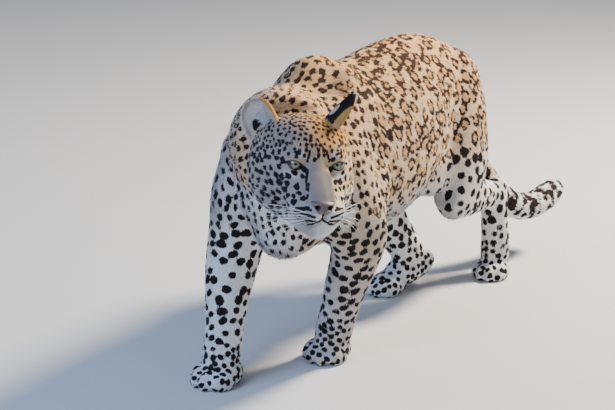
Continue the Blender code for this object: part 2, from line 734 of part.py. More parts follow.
def head_frame(points):
    """World points in the head's own frame."""
    back = np.array(head_matrix().inverted())
    return points @ back[:3, :3].T + back[:3, 3]


def neck_join_weight(points):
    """One at the seam between the head and the neck, and nothing at the face and on the body."""
    local = head_frame(points)
    band = np.exp(-(((local[:, 1] - 0.165) / 0.050) ** 4))
    return 0.6 * band * (np.abs(local[:, 0]) < 0.30) * (local[:, 2] > -0.22)


def path_distance(points, path):
    """Distance of each point from a bent line."""
    nearest = np.full(len(points), np.inf)
    for a, b in zip(path[:-1], path[1:]):
        along = b - a
        t = np.clip((points - a) @ along / (along @ along), 0, 1)
        nearest = np.minimum(nearest, np.linalg.norm(points - a - t[:, None] * along, axis=1))
    return nearest


def carve_face(obj):
    """Swells and furrows on the face, each a soft ball or a soft line, then the mouth's line."""
    points = coordinates(obj)
    normals = np.empty(len(points) * 3)
    obj.data.vertices.foreach_get("normal", normals)
    normals = normals.reshape(-1, 3)
    local = head_frame(points)
    rise = np.zeros(len(points))
    for side in (1, -1):
        for middle, radii, height in FACE_SWELLS:
            reach = np.linalg.norm((local - np.multiply(middle, (side, 1, 1))) / radii, axis=1)
            share = 0.5 if middle[0] == 0 else 1.0
            rise += share * height * np.exp(-(reach ** 2))
        for path, width, height in FACE_LINES:
            line = on_skin(smooth_path(path, 4)) * (side, 1, 1)
            rise += height * np.exp(-((path_distance(local, line) / width) ** 2))
    line = on_skin(smooth_path(MOUTH_LINE, 4))
    depth = np.zeros(len(points))
    for side in (1, -1):
        depth = np.maximum(depth, np.exp(-((path_distance(local, line * (side, 1, 1)) / MOUTH_WIDTH) ** 2)))
    reach = np.linalg.norm((local - LEATHER_PLACE) / LEATHER_RADII, axis=1)
    leather = 1 / (1 + np.exp((reach - 1) * 12))
    place(obj, points + normals * (rise + LEATHER_RISE * leather - MOUTH_DEPTH * depth)[:, None])
    return obj


def almond(side):
    """The opening between the lids: a prism along the eye's own axis that ends inside the eyeball."""
    along = np.linspace(-1, 1, 13)
    upper = UPPER_LID * (1 - np.abs(along) ** 2.2)
    lower = -LOWER_LID * (1 - np.abs(along) ** 1.8)
    outline = list(zip(along * LID_WIDTH, upper)) + list(zip(along[-2:0:-1] * LID_WIDTH, lower[-2:0:-1]))
    rings = [[(x, y, z) for x, z in outline] for y in (-0.060, -0.0035)]
    cutter = loft("almond", rings)
    spin = Matrix.Rotation(math.radians(EYE_TURN), 4, "Z") @ Matrix.Rotation(math.radians(-LID_TILT), 4, "Y")
    cutter.data.transform(Matrix.Translation(EYE_PLACE) @ spin)
    if side < 0:
        cutter.data.transform(Matrix.Scale(-1, 4, (1, 0, 0)))
        cutter.data.flip_normals()
    cutter.data.transform(head_matrix())
    return cutter


def open_eyes(head):
    """Cuts the lids' openings and the sockets, and returns the two eyeballs that fill them."""
    balls = []
    for side, name in ((1, "eye_left"), (-1, "eye_right")):
        centre = (EYE_PLACE[0] * side, *EYE_PLACE[1:])
        ball = ellipsoid(name, centre, (EYE_RADIUS,) * 3, segments=18)
        ball.data.transform(head_matrix())
        socket = ellipsoid("socket", centre, (EYE_RADIUS + GAP * 2.4,) * 3, segments=18)
        socket.data.transform(head_matrix())
        opening = almond(side)
        boolean(head, opening)
        boolean(head, socket)
        remove(opening, socket)
        balls.append(ball)
    return balls


def open_nostrils(head):
    for side in (1, -1):
        x, y, z = NOSTRIL_PLACE
        pit = ellipsoid("pit", (x * side, y, z), NOSTRIL_RADII, (0, -24 * side, 22 * side), 12)
        pit.data.transform(head_matrix())
        boolean(head, pit)
        remove(pit)


def paint(obj, colour, roughness):
    material = bpy.data.materials.new(obj.name)
    material.use_nodes = True
    shader = material.node_tree.nodes["Principled BSDF"]
    shader.inputs["Base Color"].default_value = (*colour, 1)
    shader.inputs["Roughness"].default_value = roughness
    shader.inputs["Metallic"].default_value = 0.0
    obj.data.materials.clear()
    obj.data.materials.append(material)
    obj.data.shade_smooth()
    obj.data.set_sharp_from_angle(angle=math.radians(40))


def whole_skin():
    """The animal without its tail and ears in one closed skin: soft flesh, then paws and head, finer."""
    flesh = fuse("flesh", flesh_pieces(), FLESH_VOXEL, FLESH_ROUNDS)
    feet = fuse("feet", [p for name, sizes in PAWS.items() for p in paw(name, *sizes)], PAW_VOXEL, 5)
    skin = fuse("skin", [flesh, feet, head_mass()] + lid_forms(), SKIN_VOXEL, 4)
    soften(skin, 40, neck_join_weight)
    ground = block("ground", (-0.3, -0.5, 0.6, -1.0, 1.2), (0.0, -0.5, 0.6, -1.0, 1.2))
    boolean(skin, ground)
    remove(ground)
    return skin


def head_node(skin):
    ahead = head_matrix().to_3x3() @ Vector((0, -1, 0))
    cutter = slab("cut", head_matrix() @ Vector((0, HEAD_CUT, 0)), ahead, 0.40, 0.30, 0.22, 0.22)
    head = part_off(skin, "head", cutter)
    carve_face(head)
    return thin_out(head, HEAD_FACES)


def stand_in_place(nodes):
    """Moves all nodes so that the middle of their box is over the origin and the soles are at height zero."""
    points = np.vstack([coordinates(node) for node in nodes])
    low, high = points.min(axis=0), points.max(axis=0)
    shift = Vector((-(low[0] + high[0]) / 2, -(low[1] + high[1]) / 2, -low[2]))
    for node in nodes:
        node.data.transform(Matrix.Translation(shift))
    return shift


def build():
    clear_scene()
    skin = whole_skin()
    head = head_node(skin)
    eyes = open_eyes(head)
    open_nostrils(head)
    torso = thin_out(keep_largest(skin), BODY_FACES)
    torso.name = "torso"
    ears = ear_nodes(head)
    neck_cut = slab("neck_cut", NECK_CUT_PLACE, NECK_CUT_AHEAD, 0.5, 0.25, 0.20, 0.22)
    neck = part_off(torso, "neck", neck_cut)
    nodes = [head, *eyes, *(keep_clear(ear, neck, GAP * 3) for ear in ears), neck]
    for name, (lower, upper) in LIMB_CUTS.items():
        nodes.append(part_off(torso, name, block(name + "_cut", lower, upper)))
    tail = thin_out(fuse("tail", [limb("tail", TAIL)], FLESH_VOXEL, 6), TAIL_FACES)
    root = block("root_cut", (0.10, -0.2, 0.2, 0.30, 0.60), (TAIL_CUTS[0], -0.2, 0.2, 0.425, 0.60))
    boolean(torso, root)
    remove(root)
    upper = block("upper", (TAIL_CUTS[0] - GAP, -0.3, 0.4, 0.2, 1.0), (0.9, -0.3, 0.4, 0.2, 1.0))
    boolean(tail, upper)
    remove(upper)
    middle = block("middle", (TAIL_CUTS[1], -0.3, 0.4, 0.2, 0.60), (0.9, -0.3, 0.4, 0.2, 0.60))
    nodes.append(part_off(tail, "tail_1", middle))
    bend = block("bend", (-0.1, -0.3, 0.4, 0.2, 0.64), (0.5, -0.3, 0.4, 0.2, 0.64))
    nodes.append(part_off(tail, "tail_2", bend))
    tail.name = "tail_3"
    nodes.append(keep_largest(tail))
    nodes.append(keep_largest(torso))
    leopard = collection("leopard")
    for node in nodes:
        for holder in list(node.users_collection):
            holder.objects.unlink(node)
        leopard.objects.link(node)
        paint(node, COLOURS.get(node.name, COAT_COLOUR), ROUGHNESS.get(node.name, 0.8))
    return stand_in_place(nodes)


shift = build()
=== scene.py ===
"""The looks of a life-size leopard: one skin over its forms, its markings, a coat of tufts, and its face."""

import math

import bpy
import numpy as np
from mathutils import Euler, Matrix, Vector
from mathutils.bvhtree import BVHTree
from mathutils.kdtree import KDTree


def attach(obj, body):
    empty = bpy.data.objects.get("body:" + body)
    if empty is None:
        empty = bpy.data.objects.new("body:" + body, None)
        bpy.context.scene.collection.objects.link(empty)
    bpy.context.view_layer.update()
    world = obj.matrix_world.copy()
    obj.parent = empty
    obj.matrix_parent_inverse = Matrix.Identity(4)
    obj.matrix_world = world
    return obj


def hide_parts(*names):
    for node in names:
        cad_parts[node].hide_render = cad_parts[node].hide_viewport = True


# Sizes in metres, angles in degrees. The frame's origin is the middle of the model at its soles; points
# below are given in the body's own frame, which stands this far from it
ORIGIN_SHIFT = np.array((-0.0470, -0.0398, 0.0001))
SKIN_VOXEL = 0.0022
SKIN_TRIANGLES = 186000
FLESH = ("head", "ear_left", "ear_right", "neck", "torso", "foreleg_left", "foreleg_right",
         "hindleg_left", "hindleg_right", "tail_1", "tail_2", "tail_3")
EYES = ("eye_left", "eye_right")
HEAD_PARTS = ("head", "ear_left", "ear_right")
LEGS = ("foreleg_left", "foreleg_right", "hindleg_left", "hindleg_right")
TAIL = ("tail_1", "tail_2", "tail_3")
FLESH_SWELL = 0.0006
EAR_SWELL = 0.0012

HEAD_PLACE = (0.2044, -0.6270, 0.5560)
HEAD_TURN = (1.0, 5.0, 43.5)
HEAD_SCALE = 0.965
EYE_PLACE = (0.0432, 0.0060, 0.0000)
EYE_RADIUS = 0.0160
EYE_TURN = 12.0
LID_WIDTH = 0.0172
UPPER_LID = 0.0083
LOWER_LID = 0.0086
LID_TILT = 13.0
LID_SNAP = 0.0013
BEHIND_LIDS = 0.0065
UNDER_EYE = ((0.050, 0.0, -0.020), (0.018, 0.02, 0.008))
NOSE_TIP = (0.0, -0.0860, -0.0620)
LEATHER_HALF_WIDTH = 0.0258
LEATHER_TOP = -0.0530
LEATHER_BOTTOM = -0.0795
NOSTRIL_ROOM = 0.0105
NOSTRIL = (0.0134, -0.0655)
NOSTRIL_SLIT = [(0.0134, -0.0655), (0.0180, -0.0685), (0.0224, -0.0662)]
MOUTH_LINE = [
    (0.0000, -0.0830, -0.0790), (0.0000, -0.0800, -0.0910), (0.0120, -0.0760, -0.1000),
    (0.0260, -0.0660, -0.1050), (0.0400, -0.0510, -0.1050), (0.0510, -0.0280, -0.1000),
    (0.0570, -0.0020, -0.0930), (0.0590, 0.0100, -0.0890),
]
EARS = {
    "ear_left": ((0.057, 0.092, 0.047), (0.46, -0.08, 0.88), 78.0),
    "ear_right": ((-0.079, 0.114, 0.024), (-0.37, 0.50, 0.78), -54.0),
}

# The lie of the coat: which way the hair runs on each length of the body
LIE = {
    "neck": (-0.28, 0.86, -0.42), "torso": (0.0, 1.0, -0.24),
    "foreleg_left": (0.0, 0.10, -1.0), "foreleg_right": (0.0, 0.10, -1.0),
    "hindleg_left": (0.0, 0.22, -1.0), "hindleg_right": (0.0, 0.22, -1.0),
}
TAIL_PATH = [
    (0.000, 0.415, 0.540), (0.002, 0.452, 0.485), (0.007, 0.472, 0.400), (0.022, 0.490, 0.320),
    (0.048, 0.522, 0.245), (0.078, 0.562, 0.185), (0.102, 0.612, 0.146), (0.122, 0.668, 0.134),
    (0.138, 0.720, 0.143), (0.147, 0.758, 0.156), (0.151, 0.782, 0.167),
]
PAW_HEADINGS = {"foreleg_right": 12.0, "foreleg_left": 8.0, "hindleg_right": 25.0, "hindleg_left": 0.0}

# The coat on each length: the depth it takes from the solid, tuft length, tuft width, distance between tufts
COAT = {
    "head": (0.0016, 0.0055, 0.0012, 0.00185), "ear": (0.0010, 0.0050, 0.0011, 0.0017),
    "neck": (0.0034, 0.0110, 0.0019, 0.0027), "torso": (0.0034, 0.0110, 0.0019, 0.0028),
    "foreleg": (0.0024, 0.0092, 0.0018, 0.0028), "hindleg": (0.0026, 0.0102, 0.0019, 0.0028),
    "tail_1": (0.0036, 0.0130, 0.0020, 0.0027), "tail_2": (0.0038, 0.0140, 0.0020, 0.0027),
    "tail_3": (0.0042, 0.0160, 0.0020, 0.0026),
}
# The marks on each length: distance between them, the share of it that a mark fills, length over width
MARKS = {
    "head": (0.0145, 0.41, 1.35), "ear": (0.0145, 0.41, 1.35), "neck": (0.0175, 0.36, 1.45),
    "torso": (0.0195, 0.37, 1.35), "foreleg": (0.0275, 0.35, 0.72), "hindleg": (0.0275, 0.38, 0.95),
    "tail": (0.0260, 0.36, 0.80),
}
TAIL_BAND = 0.036
WHISKER_RADII = np.linspace(0.00046, 0.00010, 9)
BROW_HAIR_RADII = np.linspace(0.00022, 0.00006, 7)
TORSO_CUTS = (-9, -0.27, -0.12, 0.03, 0.19, 9)
# A tuft's leaf: the corners of its faces, where its five points lie on its patch of the coat's own map, and
# how far the lowest tufts stay above the floor
LEAF_FACES = np.array([(0, 3, 1), (0, 2, 3), (0, 1, 2), (4, 1, 3), (4, 3, 2), (4, 2, 1)])
LEAF_PATCH = 0.0015 * np.array([(0, -1), (-1, 0), (1, 0), (0, 0.2), (0, 1)])
FLOOR_GAP = 0.0002
FLOOR_STEP = 0.0004
COAT_SEED = 11
MARK_SEED = 5
RING_MARKS = 6

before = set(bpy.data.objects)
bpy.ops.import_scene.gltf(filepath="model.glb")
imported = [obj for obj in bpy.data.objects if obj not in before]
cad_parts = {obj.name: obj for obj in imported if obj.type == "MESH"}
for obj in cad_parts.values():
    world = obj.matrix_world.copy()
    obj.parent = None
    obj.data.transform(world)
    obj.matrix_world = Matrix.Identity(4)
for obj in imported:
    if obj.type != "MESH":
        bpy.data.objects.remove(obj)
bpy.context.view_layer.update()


# Points, curves and meshes

def body_point(points):
    """Points of the body's own frame in the model's frame."""
    return np.asarray(points, float) + ORIGIN_SHIFT


def unit(vectors):
    """Each row divided by its own length."""
    return vectors / np.maximum(np.linalg.norm(vectors, axis=-1, keepdims=True), 1e-12)


def smoothstep(low, high, values):
    """0 below low, 1 above high, and a smooth rise 3t2 - 2t3 between; it falls where low is above high."""
    t = np.clip((np.asarray(values, float) - low) / (high - low), 0, 1)
    return t * t * (3 - 2 * t)


def smooth_path(points, steps):
    """A Catmull-Rom curve through the points, with this many steps from each to the next."""
    p = np.asarray(points, float)
    ends = np.vstack([2 * p[0] - p[1], p, 2 * p[-1] - p[-2]])
    t = np.linspace(0, 1, steps, endpoint=False)[:, None, None]
    a, b, c, d = ends[:-3], ends[1:-2], ends[2:-1], ends[3:]
    bend, twist = 2 * a - 5 * b + 4 * c - d, 3 * b - a - 3 * c + d
    curve = 0.5 * (2 * b + (c - a) * t + bend * t ** 2 + twist * t ** 3)
    return np.vstack([curve.transpose(1, 0, 2).reshape(-1, p.shape[1]), p[-1:]])


def path_distance(points, path):
    """Distance of each point from the nearest straight length of the path."""
    best = np.full(len(points), np.inf)
    for a, b in zip(path[:-1], path[1:]):
        along = b - a
        share = np.clip(((points - a) @ along) / max(along @ along, 1e-12), 0, 1)
        best = np.minimum(best, np.linalg.norm(points - a - share[:, None] * along, axis=1))
    return best


def head_matrix():
    """From the head's own frame, which starts between the eyes, to the model's."""
    turn = Euler([math.radians(a) for a in HEAD_TURN]).to_matrix().to_4x4()
    place = Vector(body_point(HEAD_PLACE))
    return np.array(Matrix.Translation(place) @ turn @ Matrix.Scale(HEAD_SCALE, 4))


HEAD = head_matrix()
HEAD_BACK = np.linalg.inv(HEAD)
HEAD_TURNED = HEAD[:3, :3] / HEAD_SCALE


def moved(points, matrix):
    """Points carried by a 4x4 matrix."""
    return np.asarray(points, float) @ matrix[:3, :3].T + matrix[:3, 3]


def folded(local):
    """Points of the head's frame with its right side laid over its left: X made positive."""
    return np.abs(local) * (1, 0, 0) + local * (0, 1, 1)


def oval(points, middle, radii):
    """How far out a point lies in an oval: the length of its offset over the radii, 1 on the edge."""
    return np.linalg.norm((points - middle) / radii, axis=1)


def patch(points, middle, radii):
    """A soft patch, 1 in its middle: e to the power of minus the oval's square."""
    return np.exp(-oval(points, middle, radii) ** 2)


def flattened(vectors, normals):
    """What is left of each vector along the skin: v - (v.n) n."""
    return vectors - (vectors * normals).sum(1)[:, None] * normals


def mesh_from(name, points, faces):
    """A mesh of these points and of these faces, all with the same number of corners."""
    mesh = bpy.data.meshes.new(name)
    faces = np.asarray(faces)
    mesh.vertices.add(len(points))
    mesh.vertices.foreach_set("co", np.ascontiguousarray(points, np.float32).ravel())
    corners = faces.shape[1]
    mesh.loops.add(faces.size)
    mesh.loops.foreach_set("vertex_index", faces.astype(np.int32).ravel())
    mesh.polygons.add(len(faces))
    mesh.polygons.foreach_set("loop_start", np.arange(0, faces.size, corners, dtype=np.int32))
    mesh.update(calc_edges=True)
    return mesh


def piece_from(name, points, faces, material, slot):
    """A piece of the model on its own object, riding on the body."""
    mesh = mesh_from(name, points, faces)
    mesh.polygons.foreach_set("use_smooth", np.ones(len(mesh.polygons), bool))
    mesh.materials.append(material)
    obj = bpy.data.objects.new(name, mesh)
    bpy.context.scene.collection.objects.link(obj)
    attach(obj, "root")
    return obj


def keep(obj, name, values):
    """Stores one number, or one triple, for each point of the mesh."""
    values = np.ascontiguousarray(values, np.float32)
    if values.ndim == 1:
        obj.data.attributes.new(name, "FLOAT", "POINT").data.foreach_set("value", values)
    else:
        obj.data.attributes.new(name, "FLOAT_VECTOR", "POINT").data.foreach_set("vector", values.ravel())


def arrays_of(mesh):
    """Points and triangles of a mesh."""
    mesh.calc_loop_triangles()
    points = np.empty(len(mesh.vertices) * 3, np.float32)
    mesh.vertices.foreach_get("co", points)
    faces = np.empty(len(mesh.loop_triangles) * 3, np.int32)
    mesh.loop_triangles.foreach_get("vertices", faces)
    return points.reshape(-1, 3).astype(float), faces.reshape(-1, 3)


def welded(points, faces):
    """The same triangles with their shared points made one."""
    _, first, index = np.unique(np.round(points * 1e6).astype(np.int64), axis=0,
                                return_index=True, return_inverse=True)
    faces = index.reshape(-1)[faces]
    whole = (faces[:, 0] != faces[:, 1]) & (faces[:, 1] != faces[:, 2]) & (faces[:, 0] != faces[:, 2])
    return points[first], faces[whole]


def face_normals(points, faces):
    """Cross product of two sides of each triangle: twice its area along its normal."""
    corner = points[faces]
    return np.cross(corner[:, 1] - corner[:, 0], corner[:, 2] - corner[:, 0])


def gathered(index, values, count):
    """Sum of the rows of values that share an index."""
    return np.stack([np.bincount(index, values[:, k], count) for k in range(values.shape[1])], 1)


def point_normals(points, faces):
    """Normals of the triangles round each point, weighted by area."""
    spread = np.repeat(face_normals(points, faces), 3, axis=0)
    return unit(gathered(faces.ravel(), spread, len(points)))


def edges_of(faces):
    """Each edge of a triangle mesh once."""
    ends = np.sort(np.concatenate([faces[:, [0, 1]], faces[:, [1, 2]], faces[:, [2, 0]]]), axis=1)
    return np.unique(ends, axis=0)


def mean_of_neighbours(values, edges, count):
    """For each point the mean of the values at the other ends of its edges."""
    index = np.concatenate([edges[:, 0], edges[:, 1]])
    other = np.concatenate([edges[:, 1], edges[:, 0]])
    number = np.maximum(np.bincount(index, minlength=count), 1)
    return gathered(index, values[other], count) / number[:, None]


def softened(values, edges, rounds, share=0.5):
    """Values moved a share of the way to their neighbours' mean, round after round."""
    flat = values[:, None] if values.ndim == 1 else values
    for _ in range(rounds):
        flat = flat + share * (mean_of_neighbours(flat, edges, len(flat)) - flat)
    return flat[:, 0] if values.ndim == 1 else flat


def fair(points, edges, rounds, weight):
    """Smoothing that keeps the volume: a step in, then a slightly longer step out (Taubin's method)."""
    for _ in range(rounds):
        for step in (0.60, -0.62):
            change = mean_of_neighbours(points, edges, len(points)) - points
            points = points + (step * weight)[:, None] * change
    return points


# The skin

def merged(parts):
    """Several (points, faces) pairs as one."""
    starts = np.cumsum([0] + [len(points) for points, _ in parts])
    faces = [faces + start for (_, faces), start in zip(parts, starts)]
    return np.vstack([points for points, _ in parts]), np.vstack(faces)


def evaluated(obj):
    """The mesh that an object's modifiers make."""
    graph = bpy.context.evaluated_depsgraph_get()
    return bpy.data.meshes.new_from_object(obj.evaluated_get(graph), depsgraph=graph)


def modified(points, faces, kind, settings, plain=None):
    """The points and triangles that a modifier makes of these, working on the plain points where any are
    named."""
    obj = bpy.data.objects.new("flesh", mesh_from("flesh", points, faces))
    bpy.context.scene.collection.objects.link(obj)
    modifier = obj.modifiers.new("shaping", kind)
    for key, value in settings.items():
        setattr(modifier, key, value)
    if plain is not None:
        obj.vertex_groups.new(name="plain").add(plain.tolist(), 1.0, "REPLACE")
        modifier.vertex_group = "plain"
    mesh = evaluated(obj)
    bpy.data.objects.remove(obj)
    return arrays_of(mesh)


def flesh_arrays():
    """Every length of the body swollen by a little, so that its neighbours overlap it, as one mesh."""
    parts = []
    for name in FLESH + EYES:
        points, faces = welded(*arrays_of(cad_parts[name].data))
        swell = EAR_SWELL if name.startswith("ear") else FLESH_SWELL
        parts.append((points + point_normals(points, faces) * swell, faces))
    return merged(parts)


def remeshed(points, faces, voxel):
    """One closed surface round everything, on a grid of small cubes."""
    return modified(points, faces, "REMESH", {"mode": "VOXEL", "voxel_size": voxel})


def thinned(points, faces, fine, count):
    """Fewer triangles away from the fine places, until this many are left in all."""
    settings = {"ratio": count / len(faces), "use_collapse_triangulate": True}
    return modified(points, faces, "DECIMATE", settings, np.flatnonzero(~fine))


def largest(points, faces):
    """The largest closed surface of a mesh, without what is sealed inside it."""
    label = np.arange(len(points))
    edges = edges_of(faces)
    while True:
        low = label.copy()
        np.minimum.at(low, edges[:, 0], label[edges[:, 1]])
        np.minimum.at(low, edges[:, 1], label[edges[:, 0]])
        low = low[low]
        if (low == label).all():
            break
        label = low
    biggest = np.bincount(label).argmax()
    stays = label == biggest
    index = np.cumsum(stays) - 1
    return points[stays], index[faces[stays[faces[:, 0]]]]


def nearest_node(points):
    """Which length of the body each point is on, as a number in FLESH."""
    parts = [arrays_of(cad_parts[name].data) for name in FLESH]
    owner = np.repeat(np.arange(len(FLESH)), [len(faces) for _, faces in parts])
    flesh_points, flesh_faces = merged(parts)
    tree = BVHTree.FromPolygons(flesh_points.tolist(), flesh_faces.tolist())
    found = [tree.find_nearest(Vector(q))[2] for q in points]
    return owner[np.array(found)]


def eye_matrix(side):
    """From an eye's frame to the head's: X along the lids outwards, Y into the head, Z up."""
    spin = Matrix.Rotation(math.radians(EYE_TURN), 4, "Z")
    tilt = Matrix.Rotation(math.radians(-LID_TILT), 4, "Y")
    made = np.array(Matrix.Translation(EYE_PLACE) @ (spin @ tilt))
    return np.diag((side, 1.0, 1.0, 1.0)) @ made


def lid_heights(share):
    """Heights of the opening's two edges: 1 - |s|^2.2 of the upper lid's and 1 - |s|^1.8 of the lower's."""
    s = np.abs(share)
    return UPPER_LID * (1 - s ** 2.2), -LOWER_LID * (1 - s ** 1.8)


def lid_gap(x, z):
    """How far a point of the eye's plane lies outside the opening: below 0 inside it."""
    upper, lower = lid_heights(np.clip(np.abs(x) / LID_WIDTH, 0, 1))
    outside = np.maximum(z - upper, lower - z)
    return np.where(np.abs(x) > LID_WIDTH, np.maximum(outside, np.abs(x) - LID_WIDTH), outside)


def lid_outline(count):
    """Points round the opening, from the inner corner over the upper lid and back along the lower."""
    along = -np.cos(np.linspace(0, math.pi, count))
    upper, lower = (np.stack([along * LID_WIDTH, height], 1) for height in lid_heights(along))
    return np.vstack([upper, lower[-2:0:-1]])


def open_lids(points):
    """Inside each opening the skin goes back behind the eyeball, its edge drawn onto the opening's line."""
    local = moved(points, HEAD_BACK)
    outline = lid_outline(40)
    for side in (1, -1):
        matrix = eye_matrix(side)
        q = moved(local, np.linalg.inv(matrix))
        near = (np.linalg.norm(q, axis=1) < 0.030) & (q[:, 1] < 0.004)
        place = q[near]
        gap = lid_gap(place[:, 0], place[:, 2])
        away = np.linalg.norm(place[:, None, [0, 2]] - outline[None], axis=2)
        snap = away.min(1) < LID_SNAP
        flat = np.where(snap[:, None], outline[away.argmin(1)], place[:, [0, 2]])
        deeper = np.where((gap < 0) & ~snap, BEHIND_LIDS, 0.0)
        q[near] = np.stack([flat[:, 0], place[:, 1] + deeper, flat[:, 1]], 1)
        local[near] = moved(q[near], matrix)
    return moved(local, HEAD)


def leather_reach(local):
    """How far down the leather a point lies, 0 at its top and 1 at its bottom; how far inside its edge."""
    v = (local[:, 2] - LEATHER_TOP) / (LEATHER_BOTTOM - LEATHER_TOP)
    return v, 1 - np.abs(local[:, 0]) / leather_width(np.clip(v, 0, 1))


def under_leather(points):
    """The skin goes back under the nose leather, so that the nostrils have room."""
    local = moved(points, HEAD_BACK)
    v, across = leather_reach(local)
    inside = np.minimum.reduce([v, 1 - v, across])
    local[:, 1] += NOSTRIL_ROOM * smoothstep(0.02, 0.22, inside) * (local[:, 1] < -0.05)
    return moved(local, HEAD)


def skin_surface():
    """The skin before the lids open: its points, triangles and edges, how much of each point belongs to each
    length of the body, and the length that each point is on."""
    points, faces = largest(*remeshed(*flesh_arrays(), SKIN_VOXEL))
    fine = oval(moved(points, HEAD_BACK), (0, 0.01, 0.0), (0.14, 0.175, 0.17)) < 1
    points = fair(points, edges_of(faces), 4, np.ones(len(points)))
    points, faces = thinned(points, faces, fine, SKIN_TRIANGLES)
    edges = edges_of(faces)
    owner = nearest_node(points)
    share = softened(np.eye(len(FLESH))[owner], edges, 24)
    on_ear = part_share(share, "ear_left", "ear_right")
    weight = 1.0 - 0.45 * part_share(share, "head") - 0.75 * on_ear
    points = fair(points, edges, 26, weight)
    depth = share @ body_table(COAT)[:, 0]
    sole = smoothstep(0.012, 0.030, points[:, 2])
    inwards = FLESH_SWELL + depth * (0.25 + 0.75 * sole)
    points = points - point_normals(points, faces) * inwards[:, None]
    points[:, 2] = np.maximum(points[:, 2], 0.0)
    return points, faces, edges, share, owner


# The coat's lie, its base colour with painted shade in it, and its markings, all worked out at the skin's
# points

def part_share(share, *names):
    """How much of each point belongs to these lengths of the body."""
    return sum(share[:, FLESH.index(name)] for name in names)


def body_table(rows):
    """A row of numbers for each length of the body, found by how its name starts."""
    return np.array([next(row for key, row in rows.items() if name.startswith(key)) for name in FLESH])


def tail_direction(points):
    """Tangent of the tail's path at its nearest point, and how far along the path that is."""
    path = body_point(smooth_path(TAIL_PATH, 6))
    along = np.concatenate([[0], np.cumsum(np.linalg.norm(np.diff(path, axis=0), axis=1))])
    nearest = np.linalg.norm(points[:, None] - path[None], axis=2).argmin(1)
    tangent = unit(np.gradient(path, axis=0))
    return tangent[nearest], along[nearest]


def lie_of_coat(points, normals, edges, share):
    """Along the skin: back from the nose over the head, down the legs, along the trunk and the tail."""
    local = moved(points, HEAD_BACK)
    from_nose = local - NOSE_TIP
    from_nose[:, 2] += 0.012
    total = unit(from_nose) @ HEAD_TURNED.T * part_share(share, "head")[:, None]
    for name, (_, axis, _) in EARS.items():
        total += unit(HEAD_TURNED @ np.array(axis)) * part_share(share, name)[:, None]
    b = points - ORIGIN_SHIFT
    flank = np.clip(np.abs(b[:, 0]) / 0.14, 0, 1)
    chest = smoothstep(-0.36, -0.46, b[:, 1]) * smoothstep(0.56, 0.44, b[:, 2])
    for name, way in LIE.items():
        vectors = np.tile(np.array(way), (len(points), 1))
        if name == "torso":
            vectors[:, 2] -= 1.1 * flank * smoothstep(0.66, 0.50, b[:, 2])
            vectors[:, 2] -= 1.6 * chest
            vectors[:, 1] -= 0.9 * chest
        if name == "neck":
            vectors[:, 2] -= 0.9 * smoothstep(0.56, 0.44, b[:, 2])
        if name in PAW_HEADINGS:
            heading = math.radians(PAW_HEADINGS[name])
            ahead = np.array((math.sin(heading), -math.cos(heading), -0.25))
            low = smoothstep(0.085, 0.045, b[:, 2])[:, None]
            vectors = vectors * (1 - low) + ahead * low
        total += unit(vectors) * part_share(share, name)[:, None]
    tangent, _ = tail_direction(points)
    total += tangent * part_share(share, *TAIL)[:, None]
    for _ in range(3):
        total = softened(unit(flattened(total, normals)), edges, 3)
    return unit(flattened(total, normals))


def ear_matrix(name):
    """From an ear's own frame to the head's: X across, Y towards its back, Z towards its tip."""
    root, axis, turn = EARS[name]
    lean = Vector((0, 0, 1)).rotation_difference(Vector(axis)).to_matrix().to_4x4()
    return np.array(Matrix.Translation(root) @ lean @ Matrix.Rotation(math.radians(turn), 4, "Z"))


def ear_place(points, name):
    """Points in an ear's own frame."""
    return moved(moved(points, HEAD_BACK), np.linalg.inv(ear_matrix(name)))


def ear_turn(name):
    """Directions of the model in an ear's own frame: a row of directions times this."""
    return HEAD_TURNED @ ear_matrix(name)[:3, :3]


def white_shares(b, local, normals, share):
    """How white each point is: the belly, the chest, the insides and lower halves of the legs, the chin, the
    lips and the cheeks, a patch under and over each eye, the throat, and the tail's end and underside. The
    left foreleg is kept less white, a painted shade."""
    low_trunk = 0.75 * smoothstep(0.40, 0.28, b[:, 2])
    belly = smoothstep(-0.35, -0.85, normals[:, 2]) * smoothstep(0.46, 0.34, b[:, 2])
    trunk = np.clip(np.maximum(belly, low_trunk) + 0.65 * chest_share(b), 0, 1)
    inner = np.zeros(len(b))
    for name in LEGS:
        outward = normals[:, 0] * (1 if name.endswith("left") else -1)
        inner += part_share(share, name) * smoothstep(0.25, -0.45, outward)
    # Painted shade: the left foreleg gets none of this white lower down.
    upper_leg = smoothstep(0.50, 0.34, b[:, 2]) * (1 - part_share(share, "foreleg_left"))
    leg = np.clip(0.12 + 0.43 * upper_leg + 0.70 * inner + 0.50 * smoothstep(0.36, 0.12, b[:, 2]), 0, 1)
    side = folded(local)
    chin = smoothstep(-0.085, -0.105, local[:, 2]) * smoothstep(0.10, 0.02, local[:, 1])
    lips = 0.85 * smoothstep(1.15, 0.75, oval(local, (0, -0.066, -0.088), (0.062, 0.040, 0.024)))
    cheek = 0.50 * smoothstep(-0.030, -0.085, local[:, 2])
    over_eye = 0.80 * patch(side, (0.036, -0.006, 0.021), (0.013, 0.02, 0.006))
    head = np.clip(np.maximum.reduce([chin, lips, cheek, 0.95 * patch(side, *UNDER_EYE), over_eye]), 0, 1)
    neck = 0.80 * smoothstep(0.50, 0.42, b[:, 2])
    tail = 0.60 * smoothstep(0.0, -0.7, normals[:, 2]) + 0.75 * smoothstep(0.26, 0.18, b[:, 2])
    head_share = part_share(share, *HEAD_PARTS)
    white = (trunk * part_share(share, "torso") + leg * part_share(share, *LEGS) + head * head_share
             + neck * part_share(share, "neck") + np.clip(tail, 0, 1) * part_share(share, *TAIL))
    return white * (1 - 0.9 * head_share * nose_bridge(local))


def chest_share(b):
    """1 on the front of the chest, below the throat and ahead of the shoulders."""
    return smoothstep(-0.38, -0.46, b[:, 1]) * smoothstep(0.60, 0.46, b[:, 2])


